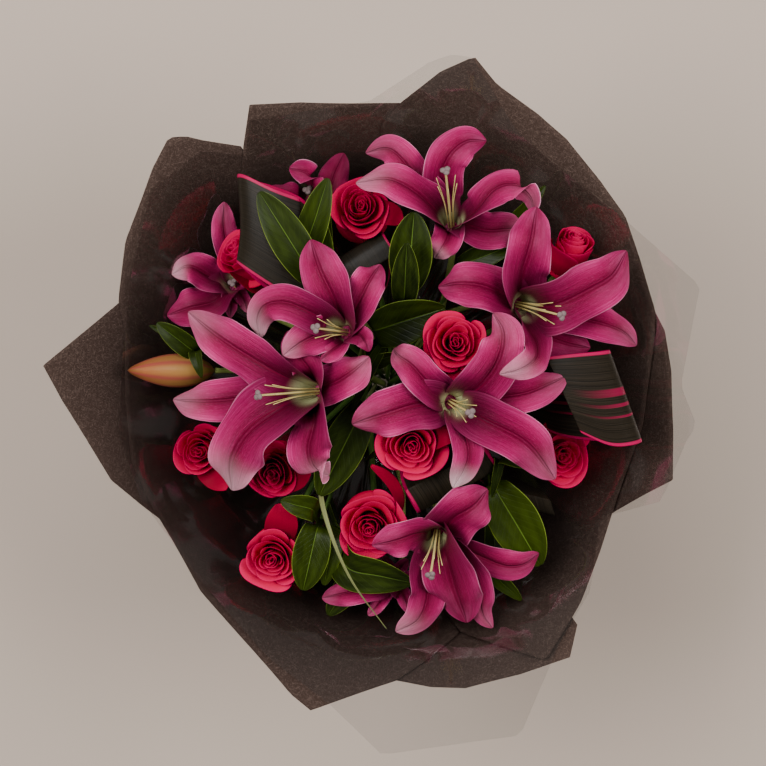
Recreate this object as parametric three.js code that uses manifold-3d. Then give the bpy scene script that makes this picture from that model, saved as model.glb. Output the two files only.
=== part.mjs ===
// A mixed flower bouquet: roses, trumpet lilies, looped cordyline leaves and leafy sprays, tied
// in a spiral and wrapped in six dark fibre sheets over a clear film. It stands on its cut stems.
// Millimetres, +Z up. It is built about the axis of the stems' spiral, and moved last, so that
// the origin is on the floor under the middle of the whole bouquet.
//
// Places are given as they look from straight above at the level of the blooms: [x, y] and a
// height. seen() turns such a place into the real point below or above that level.

import * as THREE from 'three';
import { mergeVertices } from 'three/addons/utils/BufferGeometryUtils.js';
import Module from 'manifold-3d';

const wasm = await Module();
wasm.setup();

// ---- driving dimensions -------------------------------------------------------------------

const EYE_HEIGHT = 2000; // the viewpoint from which the places below were measured
const BLOOM_LEVEL = 400; // the height at which a place is its own real size

const TIE_HEIGHT = 150; // the middle of the binding, where the stems cross
const TIE_BAND = 14;
const BUNDLE_RADIUS = 21.2; // the stems' bundle inside the binding twine
const TWINE_THICKNESS = 1.6;
const RIBBON_THICKNESS = 1.4;
const SPREAD_ABOVE = 24.1; // height over which the bundle's spread sets in above the tie
const SPREAD_BELOW = 46;
const SPIRAL_TURN = 0.5; // half of the spiral's full turn, in radians
const SPIRAL_LENGTH = 40;

const ROSE_STEM = 2.6; // radii
const LILY_STEM = 3;
const SPRAY_STEM = 1.8;
const LOOP_STEM = 2.2;
const GRASS_STEM = 1.1;
const STEM_GAP = 0.45;

const PETAL = 0.8; // thicknesses
const TEPAL = 0.9;
const LEAF = 0.7;
const SHEET = 0.6;

const ROSE_HEIGHT = 42;
const ROSE_PETALS = 5; // round the heart
const BOWL_DEPTH = 9; // the grown-together foot of a rose's petals
const CLEARANCE = 0.42; // how far a piece is trimmed back from one that is already in place

const WAIST_RADIUS = 23.6; // the inside of the innermost layer of the wrap, at the tie
const LAYER_STEP = 1.6;
const SKIRT_DEPTH = 62;
const SKIRT_FLARE = 0.6;
const KNEE_RADIUS = 62; // the wall is steep up to the knee and even from there out
const KNEE_HEIGHT = 205;
const WALL_SLOPE = 0.72;
const WALL_REACH = 340;
const WALL_SIDES = 16;

// ---- places -------------------------------------------------------------------------------

// at: the middle of the petals' spiral; top: its height; lean: degrees off upright; toward: the
// way it leans, in degrees from +X; radius: of the outer petals.
const ROSES = [
  { at: [-18, 143], top: 362, lean: 12, toward: 95, radius: 27 },
  { at: [-122, 112], top: 350, lean: 50, toward: 140, radius: 24 },
  { at: [156, 120], top: 352, lean: 50, toward: 75, radius: 21 },
  { at: [59, 33], top: 404, lean: 5, toward: 60, radius: 29 },
  { at: [23, -52], top: 394, lean: 8, toward: 270, radius: 28 },
  { at: [-11, -118], top: 366, lean: 10, toward: 250, radius: 30 },
  { at: [146, -60], top: 338, lean: 12, toward: -20, radius: 28 },
  { at: [-90, -74], top: 343, lean: 14, toward: 230, radius: 26 },
  { at: [-149, -55], top: 342, lean: 12, toward: 190, radius: 23 },
  { at: [-90, -143], top: 350, lean: 10, toward: 240, radius: 26 },
];

// throat: the place and height of the tepals' root; style: the stigma's place and rise above the
// throat; each tepal has a width and a path of places with their rise above the throat.
const LILIES = [
  {
    throat: [55, 121, 332], style: [50, 170, 70],
    tepals: [
      { width: 33, path: [[46, 150, 16], [52, 180, 38], [66, 193, 34], [83, 194, 20]] },
      { width: 27, path: [[30, 160, 28], [6, 187, 26], [-14, 184, 6]] },
      { width: 30, path: [[28, 152, 44], [4, 164, 50], [-22, 160, 42]] },
      { width: 24, path: [[51, 114, 36], [46, 106, 38], [41, 100, 28]] },
      { width: 30, path: [[84, 122, 30], [102, 123, 28], [114, 122, 18]] },
      { width: 26, path: [[74, 138, 48], [90, 156, 52], [106, 159, 48], [119, 148, 38], [120, 136, 28]] },
    ],
  },
  {
    throat: [103, 64, 342], style: [143, 54, 60],
    tepals: [
      { width: 36, path: [[80, 78, 44], [60, 80, 48], [44, 77, 32]] },
      { width: 37, path: [[112, 88, 42], [119, 114, 54], [123, 141, 38]] },
      { width: 42, path: [[138, 62, 46], [168, 76, 42], [184, 86, 34], [195, 106, 18]] },
      { width: 28, path: [[146, 54, 18], [178, 47, 20], [194, 40, 6], [203, 30, -8]] },
      { width: 32, path: [[124, 42, 16], [146, 32, 14], [166, 28, 4]] },
      { width: 25, path: [[122, 34, 50], [121, 18, 84], [108, 10, 92], [93, 7, 86]] },
    ],
  },
  {
    throat: [52, -14, 366], style: [70, -24, 66],
    tepals: [
      { width: 38, path: [[28, -17, 34], [4, -24, 38], [-25, -33, 20]] },
      { width: 28, path: [[34, 2, 40], [22, 15, 44], [12, 22, 42], [8, 27, 28]] },
      { width: 36, path: [[78, -2, 38], [92, 18, 48], [96, 40, 48], [88, 56, 36]] },
      { width: 30, path: [[84, -12, 26], [114, -8, 30], [134, 0, 24], [147, 6, 10]] },
      { width: 37, path: [[82, -30, 38], [114, -47, 34], [138, -77, 6]] },
      { width: 24, path: [[64, -38, 34], [69, -56, 40], [66, -68, 36], [56, -84, 18]] },
    ],
  },
  {
    throat: [-46, -6, 362], style: [-100, -10, 54],
    tepals: [
      { width: 36, path: [[-88, 10, 32], [-130, 36, 22], [-156, 57, -4]] },
      { width: 34, path: [[-90, -9, 18], [-134, -14, 8], [-154, -14, 0], [-168, -13, -18]] },
      { width: 43, path: [[-84, -22, 32], [-116, -44, 28], [-124, -66, 14], [-118, -86, -10]] },
      { width: 33, path: [[-56, -34, 40], [-59, -55, 32], [-52, -66, 22], [-38, -67, 10]] },
      { width: 32, path: [[-36, 2, 36], [-24, 10, 42], [-11, 21, 42]] },
      { width: 26, path: [[-60, 12, 36], [-70, 26, 36], [-76, 42, 24]] },
    ],
  },
  {
    throat: [-26, 40, 386], style: [-54, 44, 50],
    tepals: [
      { width: 35, path: [[-38, 64, 34], [-50, 90, 36], [-58, 115, 16]] },
      { width: 28, path: [[-20, 64, 34], [-12, 80, 36], [-7, 88, 32], [-2, 95, 18]] },
      { width: 28, path: [[-56, 56, 34], [-80, 65, 34], [-95, 62, 28], [-101, 50, 14], [-98, 36, 0]] },
      { width: 28, path: [[-48, 40, 24], [-64, 33, 26], [-80, 22, 20]] },
      { width: 16, path: [[-18, 38, 34], [-14, 32, 44], [-11, 25, 40]] },
      { width: 18, path: [[-36, 30, 22], [-44, 24, 28], [-50, 18, 22]] },
    ],
  },
  {
    throat: [44, -114, 336], style: [38, -154, 58],
    tepals: [
      { width: 29, path: [[24, -122, 38], [8, -127, 44], [-9, -130, 38]] },
      { width: 40, path: [[58, -108, 38], [74, -98, 46], [84, -85, 34]] },
      { width: 26, path: [[76, -138, 24], [100, -147, 22], [114, -145, 18], [125, -136, 8]] },
      { width: 25, path: [[66, -140, 34], [76, -166, 20], [80, -186, 2], [88, -196, -6]] },
      { width: 43, path: [[50, -140, 36], [58, -168, 28], [67, -192, 4]] },
      { width: 28, path: [[34, -146, 24], [36, -170, 16], [28, -190, 4], [10, -199, -10]] },
    ],
  },
  {
    throat: [-116, 74, 288], style: [-124, 86, 24],
    tepals: [
      { width: 22, path: [[-128, 94, 16], [-136, 122, 28], [-131, 144, 30]] },
      { width: 28, path: [[-136, 84, 18], [-156, 94, 28], [-169, 87, 20]] },
      { width: 33, path: [[-134, 66, 16], [-156, 60, 24], [-173, 54, 14]] },
      { width: 12, path: [[-110, 86, 8], [-108, 89, 9], [-106, 92, 9]] },
      { width: 12, path: [[-110, 64, 10], [-109, 60, 12], [-108, 56, 12]] },
      { width: 12, path: [[-122, 64, 10], [-122, 58, 13], [-122, 52, 13]] },
    ],
  },
  {
    throat: [-56, 143, 308], style: [-64, 164, 40],
    tepals: [
      { width: 22, path: [[-56, 156, 26], [-60, 167, 34], [-75, 172, 30]] },
      { width: 18, path: [[-68, 150, 22], [-80, 154, 26], [-91, 157, 22]] },
      { width: 24, path: [[-46, 150, 20], [-39, 166, 24], [-31, 184, 16]] },
      { width: 12, path: [[-46, 140, 18], [-42, 138, 26], [-39, 137, 28]] },
      { width: 12, path: [[-55, 132, 18], [-54, 127, 26], [-54, 123, 28]] },
      { width: 12, path: [[-65, 137, 18], [-69, 134, 24], [-72, 131, 24]] },
    ],
  },
  {
    throat: [10, -156, 308], style: [2, -168, 36],
    tepals: [
      { width: 22, path: [[-12, -164, 26], [-30, -168, 27], [-49, -172, 12]] },
      { width: 13, path: [[2, -168, 14], [-5, -178, 16], [-12, -186, 12]] },
      { width: 13, path: [[15, -167, 12], [20, -177, 14], [26, -185, 10]] },
      { width: 12, path: [[4, -147, 14], [0, -142, 18], [-3, -138, 20]] },
      { width: 12, path: [[14, -148, 12], [17, -144, 16], [20, -141, 18]] },
      { width: 12, path: [[20, -156, 12], [27, -156, 14], [34, -157, 12]] },
    ],
  },
];

// The lilies that grow on each lily stem. The third stem is the bouquet's middle one.
const LILY_STEMS = [[0, 1], [2], [3, 4], [6], [7], [5, 8]];
const MIDDLE_STEM = 2;
const BUD_STEM = 2;
const BUD = { base: [-134, 10, 322], tip: [-205, 10, 330], radius: 15 };

// Each loop is one long leaf that bends back on itself: a path up to the fold and back, and the
// direction of the fold's line.
const LOOPS = [
  {
    fold: [0.11, 0.99], width: 74,
    path: [[-70, 104, 330], [-94, 116, 358], [-111, 124, 369], [-104, 124, 378], [-82, 118, 381],
      [-70, 114, 379]],
  },
  {
    fold: [0.86, 0.51], width: 50,
    path: [[-14, 84, 326], [-18, 98, 338], [-22, 109, 346], [-18, 103, 354], [-10, 90, 356]],
  },
  {
    fold: [-0.35, 0.94], width: 74,
    path: [[136, -10, 344], [172, -12, 357], [196, -12, 364], [190, -12, 373], [166, -10, 377],
      [142, -9, 377]],
  },
  {
    fold: [0.88, 0.47], width: 72,
    path: [[46, -60, 326], [55, -76, 342], [61, -86, 350], [56, -78, 357], [49, -68, 358]],
  },
  {
    fold: [0.98, -0.2], width: 46,
    path: [[108, -84, 300], [113, -92, 314], [117, -100, 320], [115, -96, 328], [112, -88, 330]],
  },
];

// Each leaf of a spray runs from its base to its tip.
const SPRAYS = [
  {
    top: [-52, 84, 352],
    leaves: [
      { base: [-58, 88, 390], tip: [-99, 153, 394], width: 32 },
      { base: [-62, 104, 376], tip: [-44, 164, 388], width: 26 },
      { base: [-47, 98, 366], tip: [-50, 134, 374], width: 17 },
    ],
  },
  {
    top: [14, 62, 346],
    leaves: [
      { base: [20, 76, 358], tip: [25, 137, 374], width: 36 },
      { base: [17, 69, 366], tip: [19, 112, 384], width: 23 },
      { base: [-8, 42, 352], tip: [50, 60, 364], width: 38 },
      { base: [-8, 18, 352], tip: [16, 24, 356], width: 18 },
    ],
  },
  {
    top: [70, 96, 326],
    leaves: [
      { base: [62, 94, 344], tip: [106, 111, 352], width: 20 },
      { base: [116, 140, 326], tip: [130, 158, 334], width: 14 },
    ],
  },
  {
    top: [-20, -28, 340],
    leaves: [
      { base: [-14, -16, 364], tip: [-51, -90, 350], width: 36 },
    ],
  },
  {
    top: [94, -72, 326],
    leaves: [
      { base: [99, -58, 360], tip: [117, -67, 368], width: 17 },
      { base: [90, -84, 344], tip: [126, -146, 338], width: 42 },
      { base: [92, -156, 326], tip: [111, -174, 322], width: 17 },
    ],
  },
  {
    top: [-52, -116, 324],
    leaves: [
      { base: [-57, -101, 348], tip: [-82, -94, 352], width: 20 },
      { base: [-53, -118, 342], tip: [-64, -166, 338], width: 31 },
      { base: [-40, -124, 338], tip: [-47, -162, 336], width: 19 },
      { base: [-28, -148, 348], tip: [18, -158, 346], width: 29 },
      { base: [-24, -156, 318], tip: [-44, -186, 315], width: 28 },
    ],
  },
  {
    top: [-146, 26, 306],
    leaves: [
      { base: [-152, 26, 330], tip: [-181, 48, 336], width: 19 },
      { base: [-150, 24, 343], tip: [-145, 4, 347], width: 12 },
    ],
  },
];

const GRASS = {
  width: 4.5,
  path: [[-50, -84, 340], [-44, -114, 362], [-27, -155, 361], [3, -197, 334]],
};

// The outline of each sheet as seen from above, round from its first free corner. layer counts
// outwards from the film.
const SHEETS = {
  wrap_right_inner: {
    layer: 1,
    outline: [[73, 261], [91, 239], [124, 216], [147, 196], [174, 162], [194, 134], [206, 98],
      [218, 58], [217, 35], [208, -34], [185, -101], [174, -134], [159, -174], [154, -183],
      [130, -222], [86, -208], [62, -199], [34, -142], [-2, -60], [-2, 206], [14, 224],
      [46, 249]],
  },
  wrap_top: {
    layer: 2,
    outline: [[-107, 223], [-66, 225], [14, 224], [40, 214], [56, -2], [-56, -2], [-114, 166],
      [-112, 190]],
  },
  wrap_left_inner: {
    layer: 3,
    outline: [[-172, 197], [-158, 198], [-146, 195], [-114, 190], [-20, 60], [2, 0], [2, -60],
      [62, -199], [53, -207], [32, -224], [10, -239], [-58, -263], [-74, -250], [-89, -232],
      [-146, -167], [-167, -129], [-186, -98], [-202, -62], [-207, -14], [-207, 42],
      [-212, 66], [-206, 114], [-185, 172]],
  },
  wrap_left_outer: {
    layer: 4,
    outline: [[-273, 14], [-212, 64], [2, 50], [2, -50], [-164, -134], [-174, -113],
      [-194, -98], [-218, -78], [-258, -14]],
  },
  wrap_right_outer: {
    layer: 5,
    outline: [[233, -78], [210, -90], [182, -106], [-2, -50], [-2, 50], [206, 98], [218, 58],
      [226, 42], [231, 10], [233, -38]],
  },
  wrap_bottom: {
    layer: 6,
    outline: [[150, -220], [110, -234], [66, -245], [38, -244], [10, -239], [-56, 2], [56, 2],
      [156, -194]],
  },
};

const FILM_OUTLINE = [[-10, 226], [38, 257], [54, 262], [71, 261], [107, 202], [150, 165],
  [190, 134], [254, 78], [238, -2], [251, -34], [243, -46], [230, -78], [223, -95], [174, -108],
  [166, -166], [142, -206], [110, -282], [-1, -298], [-41, -259], [-90, -222], [-146, -158],
  [-194, -94], [-212, -38], [-209, 18], [-202, 82], [-186, 154], [-146, 186], [-110, 182],
  [-107, 210], [-66, 217]];

// ---- finishes -----------------------------------------------------------------------------

const finish = (color, roughness, opacity = 1) =>
  new THREE.MeshStandardMaterial({ color, roughness, metalness: 0, opacity, transparent: opacity < 1 });

const FINISHES = {
  rose: finish(0xc0183f, 0.6),
  lily: finish(0xb8487c, 0.5),
  bud: finish(0xd2ab8e, 0.5),
  roseStem: finish(0x3f6b2c, 0.6),
  lilyStem: finish(0x8f9a4e, 0.55),
  leaf: finish(0x35591c, 0.35),
  cordyline: finish(0x3b4238, 0.3),
  grass: finish(0x6f7a45, 0.5),
  fibre: finish(0x39302d, 0.9),
  film: finish(0xe8e4e0, 0.08, 0.25),
  twine: finish(0xb09a6e, 0.9),
  ribbon: finish(0x5c2338, 0.5),
};

// ---- points and frames --------------------------------------------------------------------

const degrees = THREE.MathUtils.degToRad;
const UP = new THREE.Vector3(0, 0, 1);

function seen(x, y, z) {
  const nearness = (EYE_HEIGHT - z) / (EYE_HEIGHT - BLOOM_LEVEL);
  return new THREE.Vector3(x * nearness, y * nearness, z);
}

function leaning(lean, toward) {
  const out = Math.sin(degrees(lean));
  return new THREE.Vector3(
    out * Math.cos(degrees(toward)),
    out * Math.sin(degrees(toward)),
    Math.cos(degrees(lean)),
  );
}

// The place of an upright shape that is turned about its own axis, leant and set down at base.
function setDown(base, axis, spin = 0) {
  const lean = new THREE.Quaternion().setFromUnitVectors(UP, axis);
  const turn = new THREE.Quaternion().setFromAxisAngle(UP, spin);
  return new THREE.Matrix4().compose(base, lean.multiply(turn), new THREE.Vector3(1, 1, 1));
}

// ---- solids -------------------------------------------------------------------------------

function solid(geometry, place) {
  const bare = geometry.clone();
  bare.deleteAttribute('normal');
  bare.deleteAttribute('uv');
  const merged = mergeVertices(bare, 1e-4);
  if (place) {
    merged.applyMatrix4(place);
  }
  const corners = merged.index.array;
  const faces = [];
  for (let k = 0; k < corners.length; k += 3) {
    const [a, b, c] = [corners[k], corners[k + 1], corners[k + 2]];
    if (a !== b && b !== c && c !== a) {
      faces.push(a, b, c);
    }
  }
  const mesh = new wasm.Mesh({
    numProp: 3,
    vertProperties: new Float32Array(merged.attributes.position.array),
    triVerts: new Uint32Array(faces),
  });
  return new wasm.Manifold(mesh);
}

function geometryOf(body) {
  const mesh = body.getMesh();
  const geometry = new THREE.BufferGeometry();
  geometry.setAttribute('position', new THREE.BufferAttribute(new Float32Array(mesh.vertProperties), 3));
  geometry.setIndex(new THREE.BufferAttribute(new Uint32Array(mesh.triVerts), 1));
  geometry.computeVertexNormals();
  return geometry;
}

const join = (bodies) => bodies.reduce((whole, body) => whole.add(body));

// A thin closed blade over a grid. Front and back are split into triangles alike, so that a
// waved blade never crosses itself. surface(u, v) gives the middle of the blade's thickness.
function blade(across, along, thickness, surface) {
  const middle = (i, j) => surface(i / across, j / along);
  const normal = (i, j) => {
    const right = middle(Math.min(i + 1, across), j).sub(middle(Math.max(i - 1, 0), j));
    const onward = middle(i, Math.min(j + 1, along)).sub(middle(i, Math.max(j - 1, 0)));
    return right.cross(onward).normalize();
  };
  const positions = [];
  for (const half of [thickness / 2, -thickness / 2]) {
    for (let j = 0; j <= along; j += 1) {
      for (let i = 0; i <= across; i += 1) {
        positions.push(...middle(i, j).addScaledVector(normal(i, j), half).toArray());
      }
    }
  }
  const back = (across + 1) * (along + 1);
  const at = (i, j) => j * (across + 1) + i;
  const faces = [];
  for (let j = 0; j < along; j += 1) {
    for (let i = 0; i < across; i += 1) {
      const [a, b, c, d] = [at(i, j), at(i + 1, j), at(i + 1, j + 1), at(i, j + 1)];
      faces.push(a, b, c, a, c, d);
      faces.push(back + a, back + c, back + b, back + a, back + d, back + c);
    }
  }
  const rim = [];
  for (let i = 0; i < across; i += 1) rim.push(at(i, 0));
  for (let j = 0; j < along; j += 1) rim.push(at(across, j));
  for (let i = across; i > 0; i -= 1) rim.push(at(i, along));
  for (let j = along; j > 0; j -= 1) rim.push(at(0, j));
  rim.forEach((a, k) => {
    const b = rim[(k + 1) % rim.length];
    faces.push(b, a, back + a, b, back + a, back + b);
  });
  const geometry = new THREE.BufferGeometry();
  geometry.setAttribute('position', new THREE.Float32BufferAttribute(positions, 3));
  geometry.setIndex(faces);
  return solid(geometry);
}

// The surface of a strip that follows a path. side is the strip's direction across at its start,
// and is carried along without twist. widthAt(v) is its width and liftAt(s, v) how far a point
// at s (-1 to 1 across) stands off the flat, as a share of the half width.
function strip(points, side, widthAt, liftAt) {
  const path = new THREE.CatmullRomCurve3(points, false, 'centripetal');
  const steps = 40;
  const sides = [];
  const carried = side.clone();
  for (let k = 0; k <= steps; k += 1) {
    const onward = path.getTangentAt(k / steps);
    carried.addScaledVector(onward, -carried.dot(onward)).normalize();
    sides.push(carried.clone());
  }
  return (u, v) => {
    const across = sides[Math.round(v * steps)];
    const onward = path.getTangentAt(v);
    const facing = across.clone().cross(onward);
    const s = 2 * u - 1;
    const half = widthAt(v) / 2;
    return path.getPointAt(v).addScaledVector(across, s * half).addScaledVector(facing, liftAt(s, v) * half);
  };
}

function tube(points, radius, sides, steps) {
  const outline = new THREE.Shape();
  outline.absarc(0, 0, radius, 0, 2 * Math.PI);
  const section = new THREE.Shape(outline.getSpacedPoints(sides).slice(0, sides));
  const path = new THREE.CatmullRomCurve3(points, false, 'centripetal');
  return solid(new THREE.ExtrudeGeometry(section, { steps, extrudePath: path }));
}

function turned(profile, sides, place) {
  const points = profile.map(([r, z]) => new THREE.Vector2(r, z));
  const upright = new THREE.LatheGeometry(points, sides).rotateX(Math.PI / 2);
  return solid(upright, place);
}

const above = new THREE.BoxGeometry(800, 800, 800).translate(0, 0, 400);
const UPPER_SPACE = solid(above);

// ---- the spiral of stems ------------------------------------------------------------------

function spread(z) {
  const reach = z > TIE_HEIGHT ? SPREAD_ABOVE : SPREAD_BELOW;
  return Math.hypot(1, (z - TIE_HEIGHT) / reach);
}

const turnAt = (z) => SPIRAL_TURN * Math.atan((z - TIE_HEIGHT) / SPIRAL_LENGTH);

// A stem keeps its place in the bundle while the whole bundle spreads and turns.
function inBundle(root, z) {
  const place = root.clone().rotateAround(new THREE.Vector2(), turnAt(z)).multiplyScalar(spread(z));
  return new THREE.Vector3(place.x, place.y, z);
}

function rootUnder(point) {
  const place = new THREE.Vector2(point.x, point.y).divideScalar(spread(point.z));
  return place.rotateAround(new THREE.Vector2(), -turnAt(point.z));
}

// Packs the stems at the tie: each is drawn to the middle, and pushed off its neighbours.
function packBundle(stems, middle) {
  const PULLS = 600;
  for (let pass = 0; pass < PULLS; pass += 1) {
    const pull = pass < PULLS * 0.8 ? 0.99 : 1;
    stems.forEach((stem) => stem.root.multiplyScalar(pull));
    for (const a of stems) {
      for (const b of stems) {
        const apart = a.root.clone().sub(b.root);
        const lacking = a.radius + b.radius + STEM_GAP - apart.length();
        if (a !== b && lacking > 0) {
          apart.setLength(lacking / 2);
          a.root.add(apart);
          b.root.sub(apart);
        }
      }
    }
    middle.root.set(0, 0);
  }
}

const STEM_LEVELS = [-12, 40, 95, 150, 185];

// The lower run of a stem, from below the floor to where it leaves the bundle.
const lowerRun = (stem) => STEM_LEVELS.map((z) => inBundle(stem.root, z));

function bareStem(stem, upper, sides, steps) {
  return tube([...lowerRun(stem), ...upper], stem.radius, sides, steps).intersect(UPPER_SPACE);
}

// Where a stem on its way to a bloom should be at a height, between its bundle place and a
// straight run to the bloom.
function onTheWay(stem, end, z) {
  const share = THREE.MathUtils.smoothstep(z, 185, end.z);
  const atEnd = end.clone().sub(inBundle(stem.root, end.z));
  return inBundle(stem.root, z).addScaledVector(atEnd.setZ(0), share);
}

// ---- roses --------------------------------------------------------------------------------

const PETAL_STEP = degrees(45); // petals share these meridians, so that none crosses another

function roseFrame(rose) {
  const axis = leaning(rose.lean, rose.toward);
  const top = seen(...rose.at, rose.top);
  return { axis, base: top.addScaledVector(axis, -ROSE_HEIGHT) };
}

// The tight middle of a rose: one ribbon of petal wound round itself.
function roseHeart(radius, place) {
  const STEPS = 9;
  const INNER = 1.8;
  const ribbon = 1.9;
  const winding = (k, off) => {
    const angle = k * PETAL_STEP;
    const reach = INNER + ((radius - INNER) * k) / STEPS + off;
    return new THREE.Vector2(Math.cos(angle) * reach, Math.sin(angle) * reach);
  };
  const outline = [];
  for (let k = 0; k <= STEPS; k += 1) outline.push(winding(k, 0));
  for (let k = STEPS; k >= 0; k -= 1) outline.push(winding(k, ribbon));
  const heart = new THREE.ExtrudeGeometry(new THREE.Shape(outline), {
    depth: ROSE_HEIGHT - BOWL_DEPTH + 1, bevelEnabled: false,
  });
  return solid(heart.translate(0, 0, BOWL_DEPTH - 1), place);
}

// One petal of the ring round the heart. Each stands a little further out than the last, so
// that they overlap like tiles and touch only where they are rooted in the bowl.
function rosePetal(k, radius, place) {
  const out = k / (ROSE_PETALS - 1);
  const foot = radius * (0.5 + 0.24 * out);
  const reach = radius * (0.62 + 0.26 * out);
  const height = ROSE_HEIGHT * (0.97 - 0.15 * out);
  const curl = radius * (0.02 + 0.14 * out);
  const bottom = BOWL_DEPTH - 0.4;
  return blade(3, k < ROSE_PETALS - 1 ? 1 : 2, PETAL, (u, v) => {
    const s = 2 * u - 1;
    const angle = (3 * k + 3 * u) * PETAL_STEP;
    const r = foot + (reach - foot) * Math.sin(v * Math.PI / 2) + curl * v * v;
    const z = bottom + (height - bottom) * v * (1 - 0.2 * s * s);
    return new THREE.Vector3(r * Math.cos(angle), r * Math.sin(angle), z).applyMatrix4(place);
  });
}

function roseBloom(rose, index) {
  const { axis, base } = roseFrame(rose);
  const place = setDown(base, axis, index);
  const bowl = turned([[0, 0], [rose.radius * 0.9, BOWL_DEPTH], [0, BOWL_DEPTH]], 8, place);
  const pieces = [bowl, roseHeart(rose.radius * 0.34, place)];
  for (let k = 0; k < ROSE_PETALS; k += 1) {
    pieces.push(rosePetal(k, rose.radius, place));
  }
  return join(pieces);
}

// The green cup under a rose, drawn out into five sepals.
function calyx(place) {
  const profile = [[0, -9], [6.5, -3], [0, -0.6]].map(([r, z]) => new THREE.Vector2(r, z));
  const cup = new THREE.LatheGeometry(profile, 10).rotateX(Math.PI / 2);
  const spots = cup.attributes.position;
  for (let k = 0; k < spots.count; k += 1) {
    const p = new THREE.Vector3().fromBufferAttribute(spots, k);
    const sepal = Math.sin(5 * Math.atan2(p.y, p.x));
    if (Math.abs(p.z + 3) < 0.1 && sepal > 0) {
      p.set(p.x * 2.4, p.y * 2.4, -5);
      spots.setXYZ(k, p.x, p.y, p.z);
    }
  }
  return solid(cup, place);
}

function roseStem(rose, stem) {
  const { axis, base } = roseFrame(rose);
  const neck = base.clone().addScaledVector(axis, -6);
  const run = [onTheWay(stem, neck, 235), neck.clone().addScaledVector(axis, -22), neck];
  return bareStem(stem, run, 4, 7).add(calyx(setDown(base, axis)));
}

// ---- lilies -------------------------------------------------------------------------------

const RING_INNER = 4.1;
const RING_OUTER = 8.2;
const RING_HEIGHT = 4.5;
const FILAMENTS = 6;

// The three lilies under other flowers have narrow inner tepals and show no filaments.
const isOpen = (lily) => lily.tepals[3].width > 15;

function lilyFrame(lily) {
  const root = seen(...lily.throat);
  const [x, y, rise] = lily.style;
  const stigma = seen(x, y, lily.throat[2] + rise);
  const lean = stigma.clone().sub(root);
  const axis = lean.clone().setZ(lean.z + 0.25 * lean.length()).normalize();
  return { root, stigma, axis };
}

// Narrow at the claw, widest past the middle and drawn to a point.
const tepalWidth = (width) => (v) => width * Math.max(Math.sin(Math.PI * v) ** 0.6, v < 0.5 ? 0.36 : 0.1);

function tepal(lily, frame, { width, path }, n) {
  const { root, axis } = frame;
  const places = path.map(([x, y, rise]) => seen(x, y, lily.throat[2] + rise));
  const out = places[0].clone().sub(root);
  out.addScaledVector(axis, -out.dot(axis)).normalize();
  const layer = n % 2 === 0 ? -0.7 : 0.7;
  const claw = root.clone().addScaledVector(out, 5.5 + layer).addScaledVector(axis, 1);
  const neck = root.clone().addScaledVector(out, 8.5 + layer).addScaledVector(axis, 17);
  const side = axis.clone().cross(out).negate();
  const cupped = (s, v) => (0.3 * Math.sin(Math.PI * v) - 0.25 * v) * Math.abs(s);
  const along = [15, 25].filter((limit) => width > limit).length + 2;
  return blade(2, along, TEPAL, strip([claw, neck, ...places], side, tepalWidth(width), cupped));
}

function lilyBloom(lily) {
  const frame = lilyFrame(lily);
  const place = setDown(frame.root, frame.axis);
  const ring = turned(
    [[RING_INNER, 0], [RING_OUTER, 0], [RING_OUTER, RING_HEIGHT], [RING_INNER, RING_HEIGHT], [RING_INNER, 0]],
    6, place,
  );
  return join([ring, ...lily.tepals.map((one, n) => tepal(lily, frame, one, n))]);
}

// The pistil with its three-lobed stigma, and six filaments round it.
function lilyHeart(lily) {
  const { root, stigma, axis } = lilyFrame(lily);
  const foot = root.clone().addScaledVector(axis, 1);
  const collar = root.clone().addScaledVector(axis, 10);
  const end = stigma.clone().sub(collar).normalize();
  const pieces = [tube([foot, collar, stigma], 0.9, 3, 2)];
  const knob = new THREE.SphereGeometry(4, 5, 3).rotateX(Math.PI / 2).scale(1, 1, 0.6);
  pieces.push(solid(knob, setDown(stigma, end)));
  const side = new THREE.Vector3().crossVectors(end, UP).normalize();
  for (let k = 0; k < FILAMENTS && isOpen(lily); k += 1) {
    const outward = side.clone().applyAxisAngle(end, (k / FILAMENTS) * 2 * Math.PI + 0.5);
    const tip = collar.clone().lerp(stigma, 0.82).addScaledVector(outward, 6);
    pieces.push(tube([foot.clone().addScaledVector(outward, 1.5), tip], 0.5, 3, 1));
  }
  return join(pieces);
}

function pedicel(from, lily) {
  const { root, axis } = lilyFrame(lily);
  const below = root.clone().addScaledVector(axis, -26);
  return tube([from, below, root.clone().addScaledVector(axis, 2)], 3, 4, 3);
}

function lilyStem(numbers, stem, branch) {
  const lilies = numbers.map((n) => LILIES[n]);
  const pieces = [bareStem(stem, [onTheWay(stem, branch, 215), branch], 5, 5)];
  for (const lily of lilies) {
    pieces.push(pedicel(branch.clone().add(new THREE.Vector3(0, 0, -6)), lily), lilyHeart(lily));
  }
  return join(pieces);
}

function budSolid(base, tip) {
  const axis = tip.clone().sub(base);
  const length = axis.length();
  const shape = [[0, 0], [0.34, 0.03], [0.82, 0.24], [1, 0.5], [0.8, 0.76], [0.3, 0.96], [0, 1]];
  const profile = shape.map(([r, z]) => new THREE.Vector2(r * BUD.radius, z * length));
  const bud = new THREE.LatheGeometry(profile, 12).rotateX(Math.PI / 2);
  const spots = bud.attributes.position;
  for (let k = 0; k < spots.count; k += 1) {
    const ridge = 1 + 0.1 * Math.cos(3 * Math.atan2(spots.getY(k), spots.getX(k)));
    spots.setXY(k, spots.getX(k) * ridge, spots.getY(k) * ridge);
  }
  return solid(bud, setDown(base, axis.normalize()));
}

// ---- leaves -------------------------------------------------------------------------------

const LEAF_STALK = 0.2;
const LEAF_SPACING = 6;

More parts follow.
